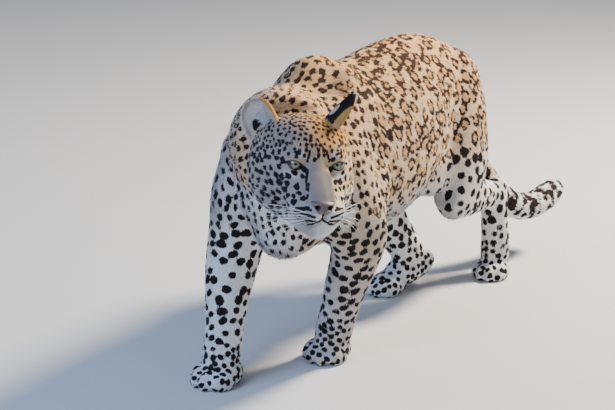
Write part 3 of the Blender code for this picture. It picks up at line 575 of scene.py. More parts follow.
def nose_bridge(local):
    """1 along the top of the nose, between the eyes and the leather."""
    height = smoothstep(0.012, -0.020, local[:, 2]) * smoothstep(-0.062, -0.052, local[:, 2])
    return smoothstep(0.030, 0.016, np.abs(local[:, 0])) * height


def gold_shares(b, local, normals, share):
    """How golden each point is: most on the crown, the neck's top and the back, least low down, and less on
    the right half of the nose's bridge, a painted shade.
    """
    upper = smoothstep(0.40, 0.66, b[:, 2])
    crown = np.clip(0.30 + 0.75 * smoothstep(-0.010, 0.060, local[:, 2]), 0, 1)
    back = 0.22 + 0.42 * upper + 0.15 * smoothstep(0.4, 0.9, normals[:, 2])
    # The bridge of the nose is golden, less so on its right half: painted shade.
    nose = nose_bridge(local) * (0.45 - 0.10 * smoothstep(0.010, -0.008, local[:, 0]))
    return (part_share(share, *HEAD_PARTS) * (crown + nose) + part_share(share, "torso") * back
            + part_share(share, "neck") * (0.30 + 0.40 * upper) + part_share(share, *LEGS) * 0.22
            + part_share(share, *TAIL) * 0.25)


def grey_and_shade_shares(b, local, normals, share):
    """How grey each point is and how much painted shade it has: the bridge of the nose is grey, and painted
    shade lies along the nose's sides, on the bridge's right half, on the head's and the body's right side, on
    what faces down, the chest, the lower trunk and the forelegs."""
    side = folded(local)
    lower = smoothstep(-0.010, -0.040, local[:, 2])
    # Painted shade along both sides of the nose, from below the eyes to the leather.
    nose_side_shade = np.exp(-((side[:, 0] - 0.024) / 0.007) ** 2) * smoothstep(0.0, -0.02, local[:, 2])
    nose_side_shade = nose_side_shade * smoothstep(-0.068, -0.056, local[:, 2]) * (local[:, 1] < -0.02)
    head = 0.7 * nose_side_shade
    # The bridge of the nose is grey, greyer low down, with painted shade on its right half.
    head += nose_bridge(local) * (0.70 + 0.18 * smoothstep(0.010, -0.008, local[:, 0]) + 0.20 * lower)
    # Painted shade on the side of the head that faces the animal's right.
    head += 0.88 * smoothstep(0.2, -0.5, (normals @ HEAD_TURNED)[:, 0]) * part_share(share, "head")
    # Painted shade on the body: its right side, what faces down, the chest, the lower trunk, the whole left
    # foreleg, and the right foreleg's upper right side.
    right = smoothstep(0.15, -0.75, normals[:, 0])
    under = smoothstep(-0.35, -0.85, normals[:, 2])
    low = smoothstep(0.40, 0.28, b[:, 2])
    body = 0.66 * right * part_share(share, "torso", "neck")
    body += part_share(share, "torso") * (0.70 * under + 0.35 * chest_share(b) + 0.35 * low)
    body += 0.48 * part_share(share, "foreleg_left")
    body += 0.50 * right * part_share(share, "foreleg_right") * smoothstep(0.26, 0.42, b[:, 2])
    head_share = part_share(share, *HEAD_PARTS)
    grey_and_shade = np.clip(head_share * head + body * (1 - head_share), 0, 1)
    return grey_and_shade * (1 - 0.7 * head_share * patch(side, *UNDER_EYE))


def base_colour(points, normals, share):
    """Three shares for each point: how golden and how white its base colour is, and how grey it is or how
    much painted shade it has. An ear is golden along its front rim and at its root, and elsewhere pale, with
    grey that is partly painted shade."""
    b = points - ORIGIN_SHIFT
    local = moved(points, HEAD_BACK)
    gold, white, grey_and_shade = (f(b, local, normals, share) for f in (gold_shares, white_shares, grey_and_shade_shares))
    for name in EARS:
        e = ear_place(points, name)
        front = -np.sign(EARS[name][2]) * e[:, 0]
        root = smoothstep(0.018, 0.010, e[:, 2]) * (front > -0.01)
        plain = part_share(share, name) * (1 - np.maximum(smoothstep(0.025, 0.031, front), root))
        # Elsewhere on an ear: less gold, more white, and grey that is partly the ear's own pale grey and
        # partly painted shade.
        gold, white, grey_and_shade = gold * (1 - 0.80 * plain), white + 0.30 * plain, grey_and_shade + 0.42 * plain
    return np.stack([gold * (1 - 0.6 * grey_and_shade), white, grey_and_shade], 1)


def mark_sizes(points, share):
    """For each point the distance between marks, the share of it that a mark fills, how long a mark is along
    the hair, and how much it is a ring. The marks are smaller and closer on the forehead, the nose and the
    feet, and the rings lie far apart on the back."""
    b = points - ORIGIN_SHIFT
    local = moved(points, HEAD_BACK)
    head = part_share(share, *HEAD_PARTS)
    trunk = part_share(share, "torso")
    hind = part_share(share, "hindleg_left", "hindleg_right")
    forehead = smoothstep(-0.010, 0.035, local[:, 2])
    nose = smoothstep(0.055, 0.020, np.linalg.norm(local - (0, -0.05, -0.03), axis=1))
    back = smoothstep(-0.35, -0.12, b[:, 1])
    belly = smoothstep(0.40, 0.30, b[:, 2])
    space, fill, long = (share @ body_table(MARKS)).T
    space = space - head * (0.0042 * forehead + 0.0055 * nose)
    space = space + trunk * 0.0170 * back * (1 - 0.40 * belly)
    space = space - part_share(share, *LEGS) * 0.0105 * smoothstep(0.20, 0.04, b[:, 2])
    fill = fill - 0.05 * head * forehead - 0.07 * trunk * belly
    long = long - 0.10 * trunk * back
    ring = trunk * back * (1 - belly) + 0.55 * hind * smoothstep(0.34, 0.50, b[:, 2])
    return space, fill, long, np.clip(ring, 0, 1)


def scattered(points, faces, density, generator):
    """Places spread over the triangles: each triangle gets the whole part of its share, and one more by
    chance. Returns each place's triangle and its weights in the triangle's corners."""
    area = np.linalg.norm(face_normals(points, faces), axis=1) / 2
    expected = area * density[faces].mean(1)
    count = np.floor(expected + generator.random(len(faces))).astype(int)
    chosen = np.repeat(np.arange(len(faces)), count)
    u, v = generator.random((2, len(chosen)))
    over = u + v > 1
    u, v = np.where(over, 1 - u, u), np.where(over, 1 - v, v)
    return chosen, np.stack([1 - u - v, u, v], 1)


def at(values, faces, chosen, weights):
    """Values of the skin's points carried to scattered places."""
    corner = values[faces[chosen]]
    return np.einsum("nk,nk...->n...", weights, corner)


def spaced(places, space, ways, long, taken=()):
    """Places kept in their own order where none kept before lies nearer than their space, which is longer
    along the hair."""
    kept = np.empty((len(places) + len(taken), 3))
    kept[:len(taken)] = np.reshape(taken, (-1, 3))
    count, index = len(taken), []
    for i, (place, room, way, stretch) in enumerate(zip(places, space, ways, long)):
        offset = kept[:count] - place
        along = offset @ way
        reach = (offset ** 2).sum(1) - along ** 2 * (1 - 1 / stretch ** 2)
        if count == 0 or reach.min() > room * room:
            kept[count] = place
            count += 1
            index.append(i)
    return np.array(index)


def bare_face(points):
    """Where no round mark grows: the bridge of the nose, round the eyes, the lips and the chin."""
    local = moved(points, HEAD_BACK)
    side = folded(local)
    bridge = (side[:, 0] < 0.024) & (local[:, 1] < -0.012) & (local[:, 2] < 0.012)
    eye = oval(side, EYE_PLACE, (0.026, 0.03, 0.017)) < 1
    lips = oval(side, (0.022, -0.066, -0.088), (0.046, 0.045, 0.030)) < 1
    chin = (local[:, 2] < -0.100) & (local[:, 1] < 0.0) & (side[:, 0] < 0.06)
    return bridge | eye | lips | chin


def mark_places(points, faces, normals, lie, share, lines, sizes, generator):
    """Where the marks lie. Places are scattered in plenty, and each is kept where none kept before is nearer
    than its room; rings stand closer, with small fillers between them. Returns each place's triangle, its
    weights and whether it is a filler."""
    space, _, long, ring = sizes
    chosen, weights = scattered(points, faces, 12.0 / space ** 2, generator)
    order = generator.permutation(len(chosen))
    chosen, weights = chosen[order], weights[order]
    place, room = at(points, faces, chosen, weights), at(space, faces, chosen, weights)
    hair, stretch = unit(at(lie, faces, chosen, weights)), np.sqrt(at(long, faces, chosen, weights))
    closer = ring * (0.11 + 0.02 * smoothstep(0.5, 0.9, normals[:, 2]))
    index = spaced(place, room * (0.85 - at(closer, faces, chosen, weights)), hair, stretch)
    small = np.flatnonzero(at(ring, faces, chosen, weights) > 0.4)
    small = small[spaced(place[small], room[small] * 0.60, hair[small], stretch[small], place[index])]
    filler = np.arange(len(index) + len(small)) >= len(index)
    index = np.concatenate([index, small])
    chosen, weights, place = chosen[index], weights[index], place[index]
    on_ear = at(part_share(share, "ear_left", "ear_right"), faces, chosen, weights) >= 0.35
    free = ~bare_face(place) & ~on_ear
    side = folded(moved(place, HEAD_BACK))
    for path, width in lines:
        free &= path_distance(side, path) > width + 0.0030
    return chosen[free], weights[free], filler[free]


def solid_marks(place, way, side, length, width, generator):
    """Solid marks: each is one blotch with two smaller ones run into its edge."""
    made = [(place, way, side, length, width)]
    for shrink in (0.70, 0.55):
        turn = generator.uniform(0, 2 * math.pi, len(place))
        c, s = np.cos(turn)[:, None], np.sin(turn)[:, None]
        shift = c * way * length[:, None] + s * side * width[:, None]
        made.append((place + 0.62 * shift, c * way + s * side, c * side - s * way,
                     length * shrink, width * shrink * 0.85))
    return made


def ring_marks(place, way, side, room, normal, generator):
    """Rings: each is up to six blotches that lie along an uneven oval, heavier on the back. Returns them, and
    the ovals themselves for the tawny middles."""
    heavy = room * (1 + 0.40 * smoothstep(0.30, 0.80, normal[:, 2]))
    across = room * 0.340 * generator.uniform(0.82, 1.15, len(place))
    down = across * generator.uniform(0.90, 1.35, len(place))
    arc = 2 * math.pi * np.sqrt((across ** 2 + down ** 2) / 2) / RING_MARKS
    made = []
    for k in range(RING_MARKS):
        on = generator.random(len(place)) < 0.90
        angle = (2 * math.pi * (k + 0.5) / RING_MARKS + generator.normal(0, 0.16, len(place)))[on]
        c, s = np.cos(angle)[:, None], np.sin(angle)[:, None]
        uneven = generator.uniform(0.86, 1.12, on.sum())[:, None]
        wide, tall = across[on][:, None] * uneven, down[on][:, None] * uneven
        made.append((place[on] + tall * c * way[on] + wide * s * side[on],
                     unit(wide * c * side[on] - tall * s * way[on]),
                     unit(tall * s * side[on] + wide * c * way[on]),
                     arc[on] * generator.uniform(0.42, 0.60, on.sum()),
                     heavy[on] * generator.uniform(0.105, 0.150, on.sum())))
    return made, (place, way, side, down, across)


def blotches(points, faces, normals, lie, share, lines):
    """Every dark blotch of the coat: its middle, its two directions, its half length and half width; and the
    tawny middle of each ring in the same way."""
    generator = np.random.default_rng(MARK_SEED)
    sizes = mark_sizes(points, share)
    chosen, weights, filler = mark_places(points, faces, normals, lie, share, lines, sizes, generator)
    place, normal, along = (at(v, faces, chosen, weights) for v in (points, normals, lie))
    normal, along = unit(normal), unit(along)
    room, fill, long, ring = (at(v, faces, chosen, weights) for v in sizes)
    count = len(place)
    swing = generator.normal(0, 0.30, count)[:, None]
    way = along * np.cos(swing) + np.cross(normal, along) * np.sin(swing)
    side = np.cross(normal, way)
    rings = (generator.random(count) < ring) & ~filler
    size = room * fill * generator.uniform(0.80, 1.15, count) * np.where(filler, 0.25, 1.0)
    stretch = np.sqrt(long * generator.uniform(0.85, 1.25, count))
    length, width, solid = size * stretch, size / stretch, ~rings
    made = solid_marks(place[solid], way[solid], side[solid], length[solid], width[solid], generator)
    ringed, tawny = ring_marks(place[rings], way[rings], side[rings], room[rings], normal[rings], generator)
    return [np.concatenate(v) for v in zip(*made, *ringed)], tawny


def mark_distance(points, marks, reach=7):
    """Distance to the edge of the nearest blotch, below 0 inside it: its oval length less 1, times its
    smaller half."""
    middle, way, side, length, width = marks
    tree = KDTree(len(middle))
    for i, p in enumerate(middle):
        tree.insert(p, i)
    tree.balance()
    found = np.array([[n[1] for n in tree.find_n(p, reach)] for p in points])
    offset = points[:, None] - middle[found]
    length, width = length[found], width[found]
    along, across = (offset * way[found]).sum(2), (offset * side[found]).sum(2)
    off = np.maximum((offset ** 2).sum(2) - along ** 2 - across ** 2, 0)
    out = np.sqrt((along / length) ** 2 + (across / width) ** 2 + off / (2.0 * width) ** 2)
    return ((out - 1) * np.minimum(length, width)).min(1)


def mark_field(points, normals, share, marks, tawny, lines):
    """Distance in millimetres to the nearest dark mark of any kind, and to the nearest ring's middle."""
    dark = np.minimum(mark_distance(points, marks), drawn_marks(points, normals, share, lines))
    return np.stack([dark, mark_distance(points, tawny, 2)], 1) * 1000


# The face's dark lines on the animal's left, in the head's frame, each with half its width: the wedge at the
# eye's inner corner and its end, partly a dark mark and partly painted shade down the side of the nose, the
# outer corner's line, two over the brow, and the one under the nose
FACE_MARKS = [
    # The wedge and its end: a dark mark that also paints the shade down the side of the nose.
    ([(0.0305, -0.0125, -0.0030), (0.0262, -0.0230, -0.0120), (0.0245, -0.0300, -0.0250)], 0.0052),
    ([(0.0245, -0.0300, -0.0250), (0.0260, -0.0400, -0.0400)], 0.0026),
    ([(0.0600, 0.0040, 0.0030), (0.0740, 0.0130, 0.0000)], 0.0024),
    ([(0.0255, -0.0160, 0.0080), (0.0215, -0.0130, 0.0180), (0.0180, -0.0080, 0.0310)], 0.0023),
    ([(0.0380, -0.0060, 0.0240), (0.0480, -0.0010, 0.0270)], 0.0026),
    ([(0.0000, -0.0850, -0.0770), (0.0000, -0.0820, -0.0920)], 0.0012),
]
# The rows of dashes on the upper lip: height of each, and where it starts
WHISKER_ROWS = [(-0.0690, 0.0250), (-0.0755, 0.0200), (-0.0820, 0.0170), (-0.0885, 0.0160), (-0.0945, 0.0200)]


def on_skin(path, tree):
    """A path of the head's frame drawn onto the skin."""
    points = moved(path, HEAD)
    found = np.array([tree.find_nearest(Vector(p))[0] for p in points])
    return moved(found, HEAD_BACK)


def face_lines(tree):
    """The dark lines of the face on the animal's left, each a path on the skin and half its width."""
    lines = [(on_skin(smooth_path(path, 5), tree), width) for path, width in FACE_MARKS]
    lines.append((on_skin(smooth_path(MOUTH_LINE, 4), tree), 0.0024))
    generator = np.random.default_rng(8)
    for height, x in WHISKER_ROWS:
        while x < 0.056:
            length = generator.uniform(0.0065, 0.0100)
            ends = np.array((x, x + length))
            dash = np.stack([ends, -0.080 + ends * 0.45, np.full(2, height - 0.004 * (x / 0.05) ** 2)], 1)
            lines.append((on_skin(smooth_path(dash, 2), tree), 0.0026))
            x += length + generator.uniform(0.0018, 0.0030)
    return lines


def drawn_marks(points, normals, share, lines):
    """Marks that follow a line: the face's dark lines, the bands of the tail, and the ears' black backs, each
    round a pale patch, and painted shade in each ear's hollow round its canal. Distance to the edge of the
    nearest of them, below 0 inside it."""
    best = np.full(len(points), 0.05)
    head = part_share(share, "head") > 0.3
    side = folded(moved(points[head], HEAD_BACK))
    near = np.full(len(side), 0.05)
    for path, width in lines:
        near = np.minimum(near, path_distance(side, path) - width)
    best[head] = near
    _, along = tail_direction(points)
    phase = along / TAIL_BAND + 0.25 * np.sin(points[:, 0] * 130 + points[:, 1] * 60)
    band = (np.abs(phase - np.round(phase)) - 0.17) * TAIL_BAND
    band = band + 0.012 * smoothstep(-0.2, -0.7, normals[:, 2] + 0.15 * np.sin(along * 90))
    banded = (part_share(share, *TAIL) > 0.5) & (along > 0.19)
    best = np.where(banded, np.minimum(best, band), best)
    for name in EARS:
        e = ear_place(points, name)
        turned = np.sign(EARS[name][2])
        pale = oval(e[:, [0, 2]], (0.0, 0.038), (0.016, 0.015))
        back = np.where(pale < 1, (1 - pale) * 0.020, -0.006)
        back = np.maximum.reduce([back, 0.010 - e[:, 2], -turned * e[:, 0] - 0.037])
        # Painted shade: a dark oval in each ear's hollow, round its canal.
        canal_shade = (oval(e[:, [0, 2]], (0.020 * turned, 0.030), (0.013, 0.020)) - 1) * 0.016
        outside = (normals @ ear_turn(name))[:, 1] > 0.12
        best = np.where(part_share(share, name) > 0.45, np.where(outside, back, canal_shade), best)
    return best


# Shader values

class Value:
    """A socket of a material whose sums and products add the Math nodes that they need."""

    def __init__(self, finish, socket):
        self.finish = finish
        self.socket = socket

    def _math(self, operation, first, second):
        return self.finish.node("ShaderNodeMath", {"operation": operation}, {0: first, 1: second})

    def __add__(self, other):
        return self._math("ADD", self, other)

    def __radd__(self, other):
        return self._math("ADD", other, self)

    def __sub__(self, other):
        return self._math("SUBTRACT", self, other)

    def __rsub__(self, other):
        return self._math("SUBTRACT", other, self)

    def __mul__(self, other):
        return self._math("MULTIPLY", self, other)

    def __rmul__(self, other):
        return self._math("MULTIPLY", other, self)


class Finish:
    """A material and the one method that makes its nodes."""

    def __init__(self, name, roughness):
        self.material = bpy.data.materials.new(name)
        self.material.use_nodes = True
        self.tree = self.material.node_tree
        self.shader = self.tree.nodes["Principled BSDF"]
        self.shader.inputs["Roughness"].default_value = roughness

    def node(self, kind, settings=None, sockets=None, out=0):
        """A node with its settings first, then the values or links of its sockets, and one of its outputs."""
        made = self.tree.nodes.new(kind)
        for key, value in (settings or {}).items():
            setattr(made, key, value)
        for key, value in (sockets or {}).items():
            target = made.inputs[key]
            if isinstance(value, Value):
                self.tree.links.new(value.socket, target)
            else:
                target.default_value = value
        return Value(self, made.outputs[out])

    def attribute(self, name):
        """The three numbers kept with the mesh under a name."""
        vector = self.node("ShaderNodeAttribute", {"attribute_name": name}, out="Vector")
        split = self.node("ShaderNodeSeparateXYZ", None, {0: vector}).socket.node
        return [Value(self, socket) for socket in split.outputs]

    def place(self):
        """Points of the model, which has each piece's origin at its own."""
        return self.node("ShaderNodeTexCoord", out="Object")

    def noise(self, vector, scale, detail=2.0):
        """A cloudy value of 0 to 1, with this many clouds to a unit of the vector."""
        sockets = {"Vector": vector, "Scale": scale, "Detail": detail, "Roughness": 0.5}
        return self.node("ShaderNodeTexNoise", {}, sockets, out="Fac")

    def rise(self, value, low, high):
        """0 at low, 1 at high, smooth between; low may be above high."""
        if low > high:
            return 1.0 - self.rise(value, high, low)
        sockets = {"Value": value, "From Min": low, "From Max": high}
        return self.node("ShaderNodeMapRange", {"interpolation_type": "SMOOTHSTEP"}, sockets)

    def mix(self, share, first, second):
        """The first colour at share 0, the second at 1."""
        first, second = (v if isinstance(v, Value) else (*v, 1.0) for v in (first, second))
        return self.node("ShaderNodeMix", {"data_type": "RGBA"}, {0: share, 6: first, 7: second}, out=2)

    def tint(self, colour, strength):
        """A colour made lighter or darker by a value round 1."""
        return self.node("ShaderNodeVectorMath", {"operation": "SCALE"}, {0: colour, "Scale": strength})

    def bump(self, height, distance, strength):
        """A normal that leans with the slope of a height."""
        return self.node("ShaderNodeBump", {}, {"Height": height, "Distance": distance, "Strength": strength})

    def set(self, **sockets):
        """Links values to the shader's sockets."""
        for key, value in sockets.items():
            self.tree.links.new(value.socket, self.shader.inputs[key.replace("_", " ")])
        return self.material


def linear(red, green, blue):
    """A screen colour of 0 to 255 as the linear light that Blender's sockets take."""
    parts = [part / 255 for part in (red, green, blue)]
    return tuple(((part + 0.055) / 1.055) ** 2.4 if part > 0.04 else part / 12.92 for part in parts)


# The coat's colours: three kinds of base, the grey that also paints shade, the marks' two inks, and the
# rings' middles
GOLD = linear(211, 154, 84)
SAND = linear(232, 212, 186)
WHITE = linear(236, 236, 238)
GREY_AND_SHADE_COLOUR = linear(112, 109, 118)
BLACK = linear(34, 31, 36)
BROWN = linear(56, 38, 29)
TAWNY = linear(192, 138, 84)


def coat_finish(name, hairs):
    """Base colour from its three shares, golden, white, and grey with painted shade, a darker tawny inside
    the rings, and the dark marks over it. The skin has a fine grain besides, and the hairs have none."""
    finish = Finish(name, 0.85)
    finish.shader.inputs["Specular IOR Level"].default_value = 0.12
    gold, white, grey_and_shade = finish.attribute("base")
    mark, ring, chance = finish.attribute("markings")
    place = finish.place()
    blotchy = finish.noise(place, 26.0, 3.0)
    ragged = finish.noise(place, 330.0)
    base = finish.mix(gold + (blotchy - 0.5) * 0.35, SAND, GOLD)
    inside = finish.rise(ring, 0.6, -1.2) * (1.0 - white)
    base = finish.mix(inside * 0.65, base, TAWNY)
    base = finish.mix(finish.rise(white + (blotchy - 0.5) * 0.25, 0.0, 1.0), base, WHITE)
    # The third share turns the base towards a dark grey, which is partly grey and partly painted shade.
    base = finish.mix(grey_and_shade * 0.75, base, GREY_AND_SHADE_COLOUR)
    base = finish.tint(base, 0.90 + 0.24 * chance + 0.30 * (blotchy - 0.5))
    edge = mark + (ragged - 0.5) * 2.0 + (chance - 0.5) * 0.8
    # Marks are brown on golden ground and black where the ground is grey or painted shade.
    ink = finish.mix(finish.rise(gold * (1.0 - grey_and_shade), 0.05, 0.6), BLACK, BROWN)
    ink = finish.tint(ink, 0.65 + 0.7 * chance)
    colour = finish.mix(finish.rise(edge, 0.75, -0.25), base, ink)
    if hairs:
        return finish.set(Base_Color=colour)
    fine = finish.noise(place, 900.0)
    colour = finish.tint(colour, 0.72 + 0.3 * fine)
    return finish.set(Base_Color=colour, Normal=finish.bump(fine, 0.0006, 0.5))


# Tufts

def tufts(name, places, normals, lie, sizes, spots, base, material, generator, uv):
    """A closed leaf for each place: root, left, right and ridge at four tenths of its length, and tip. The
    sizes are length, width and lift; the marks are given at the root, the middle and the tip."""
    count = len(places)
    side = np.cross(normals, lie)
    swing = generator.normal(0, 0.16, count)[:, None]
    way = unit(lie * np.cos(swing) + side * np.sin(swing))
    side = np.cross(normals, way)
    spread = ((0.72, 1.25), (0.75, 1.20), (0.60, 1.50))
    length, width, lift = ((size * generator.uniform(low, high, count))[:, None]
                           for size, (low, high) in zip(sizes, spread))
    root = places - normals * 0.0006
    middle = places + way * length * 0.42 + normals * (length * lift * 0.62)
    bend = side * (length * generator.normal(0, 0.06, count)[:, None])
    tip = places + way * length + normals * (length * lift) + bend
    ridge = middle + normals * (width * 0.34)
    points = np.stack([root, middle + side * width / 2, middle - side * width / 2, ridge, tip], 1)
    points[:, :, 2] = np.maximum(points[:, :, 2], FLOOR_GAP + FLOOR_STEP * np.array((0, 0, 0, 1, 0.5)))
    faces = (np.arange(count)[:, None, None] * 5 + LEAF_FACES).reshape(-1, 3)
    obj = piece_from(name, points.reshape(-1, 3), faces, material, "coat")
    chance = np.repeat(generator.random(count)[:, None, None], 5, axis=1)
    keep(obj, "markings", np.concatenate([spots[:, [0, 1, 1, 1, 2]], chance], 2).reshape(-1, 3))
    keep(obj, "base", np.repeat(base, 5, axis=0))
    own = np.stack([normals, normals + side * 0.55, normals - side * 0.55, normals, normals + way * 0.15], 1)
    obj.data.normals_split_custom_set_from_vertices(unit(own).reshape(-1, 3).astype(np.float32))
    corners = (uv[:, None] + LEAF_PATCH).reshape(-1, 2)[faces.ravel()]
    obj.data.uv_layers.new(name="OFBake").data.foreach_set("uv", corners.astype(np.float32).ravel())


def unrolled(places, origin, axis):
    """A length of the body unrolled: angle round its own axis, and distance along it, each from 0 to 1."""
    axis = unit(np.asarray(axis, float))
    first = unit(np.cross(axis, (0.31, 0.17, 0.93)))
    second = np.cross(axis, first)
    offset = places - origin
    angle = np.arctan2(offset @ second, offset @ first) / (2 * math.pi) + 0.5
    along = offset @ axis
    along = (along - along.min()) / max(np.ptp(along), 1e-9)
    return np.stack([0.003 + 0.994 * angle, 0.003 + 0.994 * along], 1)


def rings_mesh(rings):
    """Faces of a tube through rings of points, each ring with the same count, closed at both ends."""
    rings = np.asarray(rings)
    count, around = rings.shape[:2]
    row = np.arange(count - 1)[:, None] * around
    k = np.arange(around)[None]
    n = (k + 1) % around
    first = np.stack([row + k, row + n, row + around + n], -1).reshape(-1, 3)
    second = np.stack([row + k, row + around + n, row + around + k], -1).reshape(-1, 3)
    fan = np.arange(1, around - 1)
    start = np.stack([np.zeros_like(fan), fan + 1, fan], 1)
    last = (count - 1) * around
    end = np.stack([np.full_like(fan, last), last + fan, last + fan + 1], 1)
    return rings.reshape(-1, 3), np.vstack([first, second, start, end])


def tube(path, radii, around=6):
    """Rings of these radii square to a path, turned as little as possible from each to the next."""
    path = np.asarray(path, float)
    tangent = unit(np.gradient(path, axis=0))
    guide = np.cross(tangent[0], (0.3, 0.2, 0.9))
    angle = np.arange(around) * 2 * math.pi / around
    rings = []
    for point, way, radius in zip(path, tangent, radii):
        guide = guide - (guide @ way) * way
        guide = guide / np.linalg.norm(guide)
        other = np.cross(way, guide)
        rings.append(point + radius * (np.cos(angle)[:, None] * guide + np.sin(angle)[:, None] * other))
    return rings_mesh(rings)


# The camera, which looks down on the animal from its front left

CAMERA_TARGET = (-0.105, -0.100, 0.298)
CAMERA_DISTANCE = 4.5
CAMERA_TURN = 28.8
CAMERA_RISE = 16.2
CAMERA_LENS = 116.42


def camera_axes():
    """Right, up and towards the camera."""
    a, e = math.radians(CAMERA_TURN), math.radians(CAMERA_RISE)
    back = np.array((math.sin(a) * math.cos(e), -math.cos(a) * math.cos(e), math.sin(e)))
    right = unit(np.cross((0, 0, 1), back))
    return right, np.cross(back, right), back


def add_camera():
    """A long lens on the target, level with the horizon."""
    right, up, back = camera_axes()
    data = bpy.data.cameras.new("camera")
    data.lens = CAMERA_LENS
    data.sensor_width = 36
    camera = bpy.data.objects.new("camera", data)
    matrix = np.eye(4)
    matrix[:3] = np.stack([right, up, back, body_point(CAMERA_TARGET) + back * CAMERA_DISTANCE], 1)
    camera.matrix_world = Matrix(matrix.tolist())
    bpy.context.scene.collection.objects.link(camera)
    bpy.context.scene.camera = camera


# Eyes, lids, whiskers

def eye_finish():
    """By distance from the pupil's middle in millimetres: pupil, greenish iris with fine spokes, dark rim,
    and the white of the eye in dark brown, partly its own colour and partly painted shade."""
    finish = Finish("eye", 0.25)
    finish.shader.inputs["Coat Weight"].default_value = 1.0
    finish.shader.inputs["Coat Roughness"].default_value = 0.03
    radius, angle, _ = finish.attribute("eye")
    fan = finish.node("ShaderNodeCombineXYZ", {}, {"X": angle * 9.0, "Y": radius * 0.25})
    iris = finish.mix(finish.rise(radius, 3.5, 8.5), linear(156, 148, 102), linear(100, 106, 86))
    iris = finish.tint(iris, 0.45 + 0.8 * finish.noise(fan, 1.0, 3.0))
    colour = finish.mix(finish.rise(radius, 8.4, 9.8), iris, linear(24, 20, 18))
    # The white of the eye is dark brown: partly its own colour, partly painted shade in the corners.
    colour = finish.mix(finish.rise(radius, 10.2, 11.4), colour, linear(46, 36, 32))
    colour = finish.mix(finish.rise(radius, 3.5, 2.9), colour, linear(6, 6, 8))
    return finish.set(Base_Color=colour)


def add_eyes():
    """Each ball is rings round its line of sight, with the clear front a little raised."""
    material = eye_finish()
    right, up, back = camera_axes()
    camera = body_point(CAMERA_TARGET) + back * CAMERA_DISTANCE
    around, count = 40, 30
    polar = np.linspace(0.02, math.pi - 0.02, count)
    turn = np.arange(around) * 2 * math.pi / around
    reach = EYE_RADIUS * HEAD_SCALE * (1 + 0.045 * np.maximum(0, 1 - (polar / 0.72) ** 2))
    for name, side in (("eye_left", 1), ("eye_right", -1)):
        centre = moved(np.array([EYE_PLACE]) * (side, 1, 1), HEAD)[0]
        sight = unit(unit(camera - centre) + right * 0.10 - up * 0.06)
        across = unit(np.cross((0, 0, 1), sight))
        circle = np.cos(turn)[:, None] * across + np.sin(turn)[:, None] * np.cross(sight, across)
        ahead = np.cos(polar)[:, None, None] * sight
        rings = centre + reach[:, None, None] * (ahead + np.sin(polar)[:, None, None] * circle[None])
        points, faces = rings_mesh(rings)
        eye = piece_from(name + "_ball", points, faces[:, ::-1], material, "eye")
        far = np.repeat(polar * EYE_RADIUS * 1000, around)
        keep(eye, "eye", np.stack([far, np.tile(turn, count), np.zeros(len(far))], 1))
        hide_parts(name)


def plain_finish(name, colour, roughness):
    """One colour, a little uneven."""
    finish = Finish(name, roughness)
    noise = finish.noise(finish.place(), 300.0)
    return finish.set(Base_Color=finish.tint(colour, 0.875 + 0.25 * noise))


def surface_hits(tree, starts, ways):
    """Where rays first meet the skin, or their starts where they miss it."""
    hits = [tree.ray_cast(Vector(a), Vector(b)) for a, b in zip(starts, ways)]
    return np.array([h[0] if h[0] else s for h, s in zip(hits, starts)])


def add_lids(tree):
    """A dark rim along each opening, on the skin's own surface, thickest over the eye."""
    material = plain_finish("lid_rim", linear(26, 20, 20), 0.35)
    outline = lid_outline(36)
    flat = outline * 1.045
    ahead = np.stack([flat[:, 0], np.full(len(flat), -0.05), flat[:, 1]], 1)
    upper = np.append(outline[:, 1], outline[:2, 1]) > 0
    parts = []
    for side in (1, -1):
        matrix = eye_matrix(side)
        starts = moved(moved(ahead, matrix), HEAD)
        way = unit(HEAD[:3, :3] @ matrix[:3, 1])
        path = surface_hits(tree, starts, np.tile(way, (len(starts), 1)))
        path = (np.roll(path, 1, 0) + 2 * path + np.roll(path, -1, 0)) / 4
        parts.append(tube(np.vstack([path, path[:2]]), np.where(upper, 0.00145, 0.00095), 6))
    piece_from("lid_rims", *merged(parts), material, "coat")


def leather_width(v):
    """Half width of the nose leather: full at the top, narrowing to the lip."""
    return LEATHER_HALF_WIDTH * (1 - 0.72 * v ** 1.6)


def nose_relief(x, z, u, v):
    """Height of the leather over the skin, and how dark it is: a low dome with a darker rolled edge, a groove
    down the middle, and on each side a round nostril that runs out into a slit; the nostrils, their slits and
    the groove are painted dark as their shade."""
    edge = np.maximum(np.abs(u), np.abs(2 * v - 1))
    dome = 0.0026 * np.sqrt(np.clip(1 - edge ** 4, 0, 1)) - 0.0014 + 0.0012 * (1 - u ** 2) * (1 - v)
    flat = np.stack([np.abs(x), z], -1).reshape(-1, 2)
    hole = oval(flat, NOSTRIL, (0.0052, 0.0044)).reshape(x.shape)
    slit = path_distance(flat, np.asarray(NOSTRIL_SLIT)).reshape(x.shape)
    groove = np.exp(-(x / 0.0010) ** 2) * smoothstep(0.30, 0.60, v)
    deep = np.maximum(0.0070 * np.exp(-hole ** 4), 0.0034 * np.exp(-(slit / 0.0017) ** 2))
    rim = smoothstep(0.80, 0.98, edge) * (0.25 + 0.75 * v)
    # Painted shade in the nostrils, their slits and the groove; the rolled edge is darker besides.
    nostril = np.maximum(np.exp(-(hole * 0.86) ** 4), 0.9 * np.exp(-(slit / 0.0021) ** 2))
    return dome - deep - 0.0012 * groove, np.maximum.reduce([nostril, 0.8 * groove, rim])


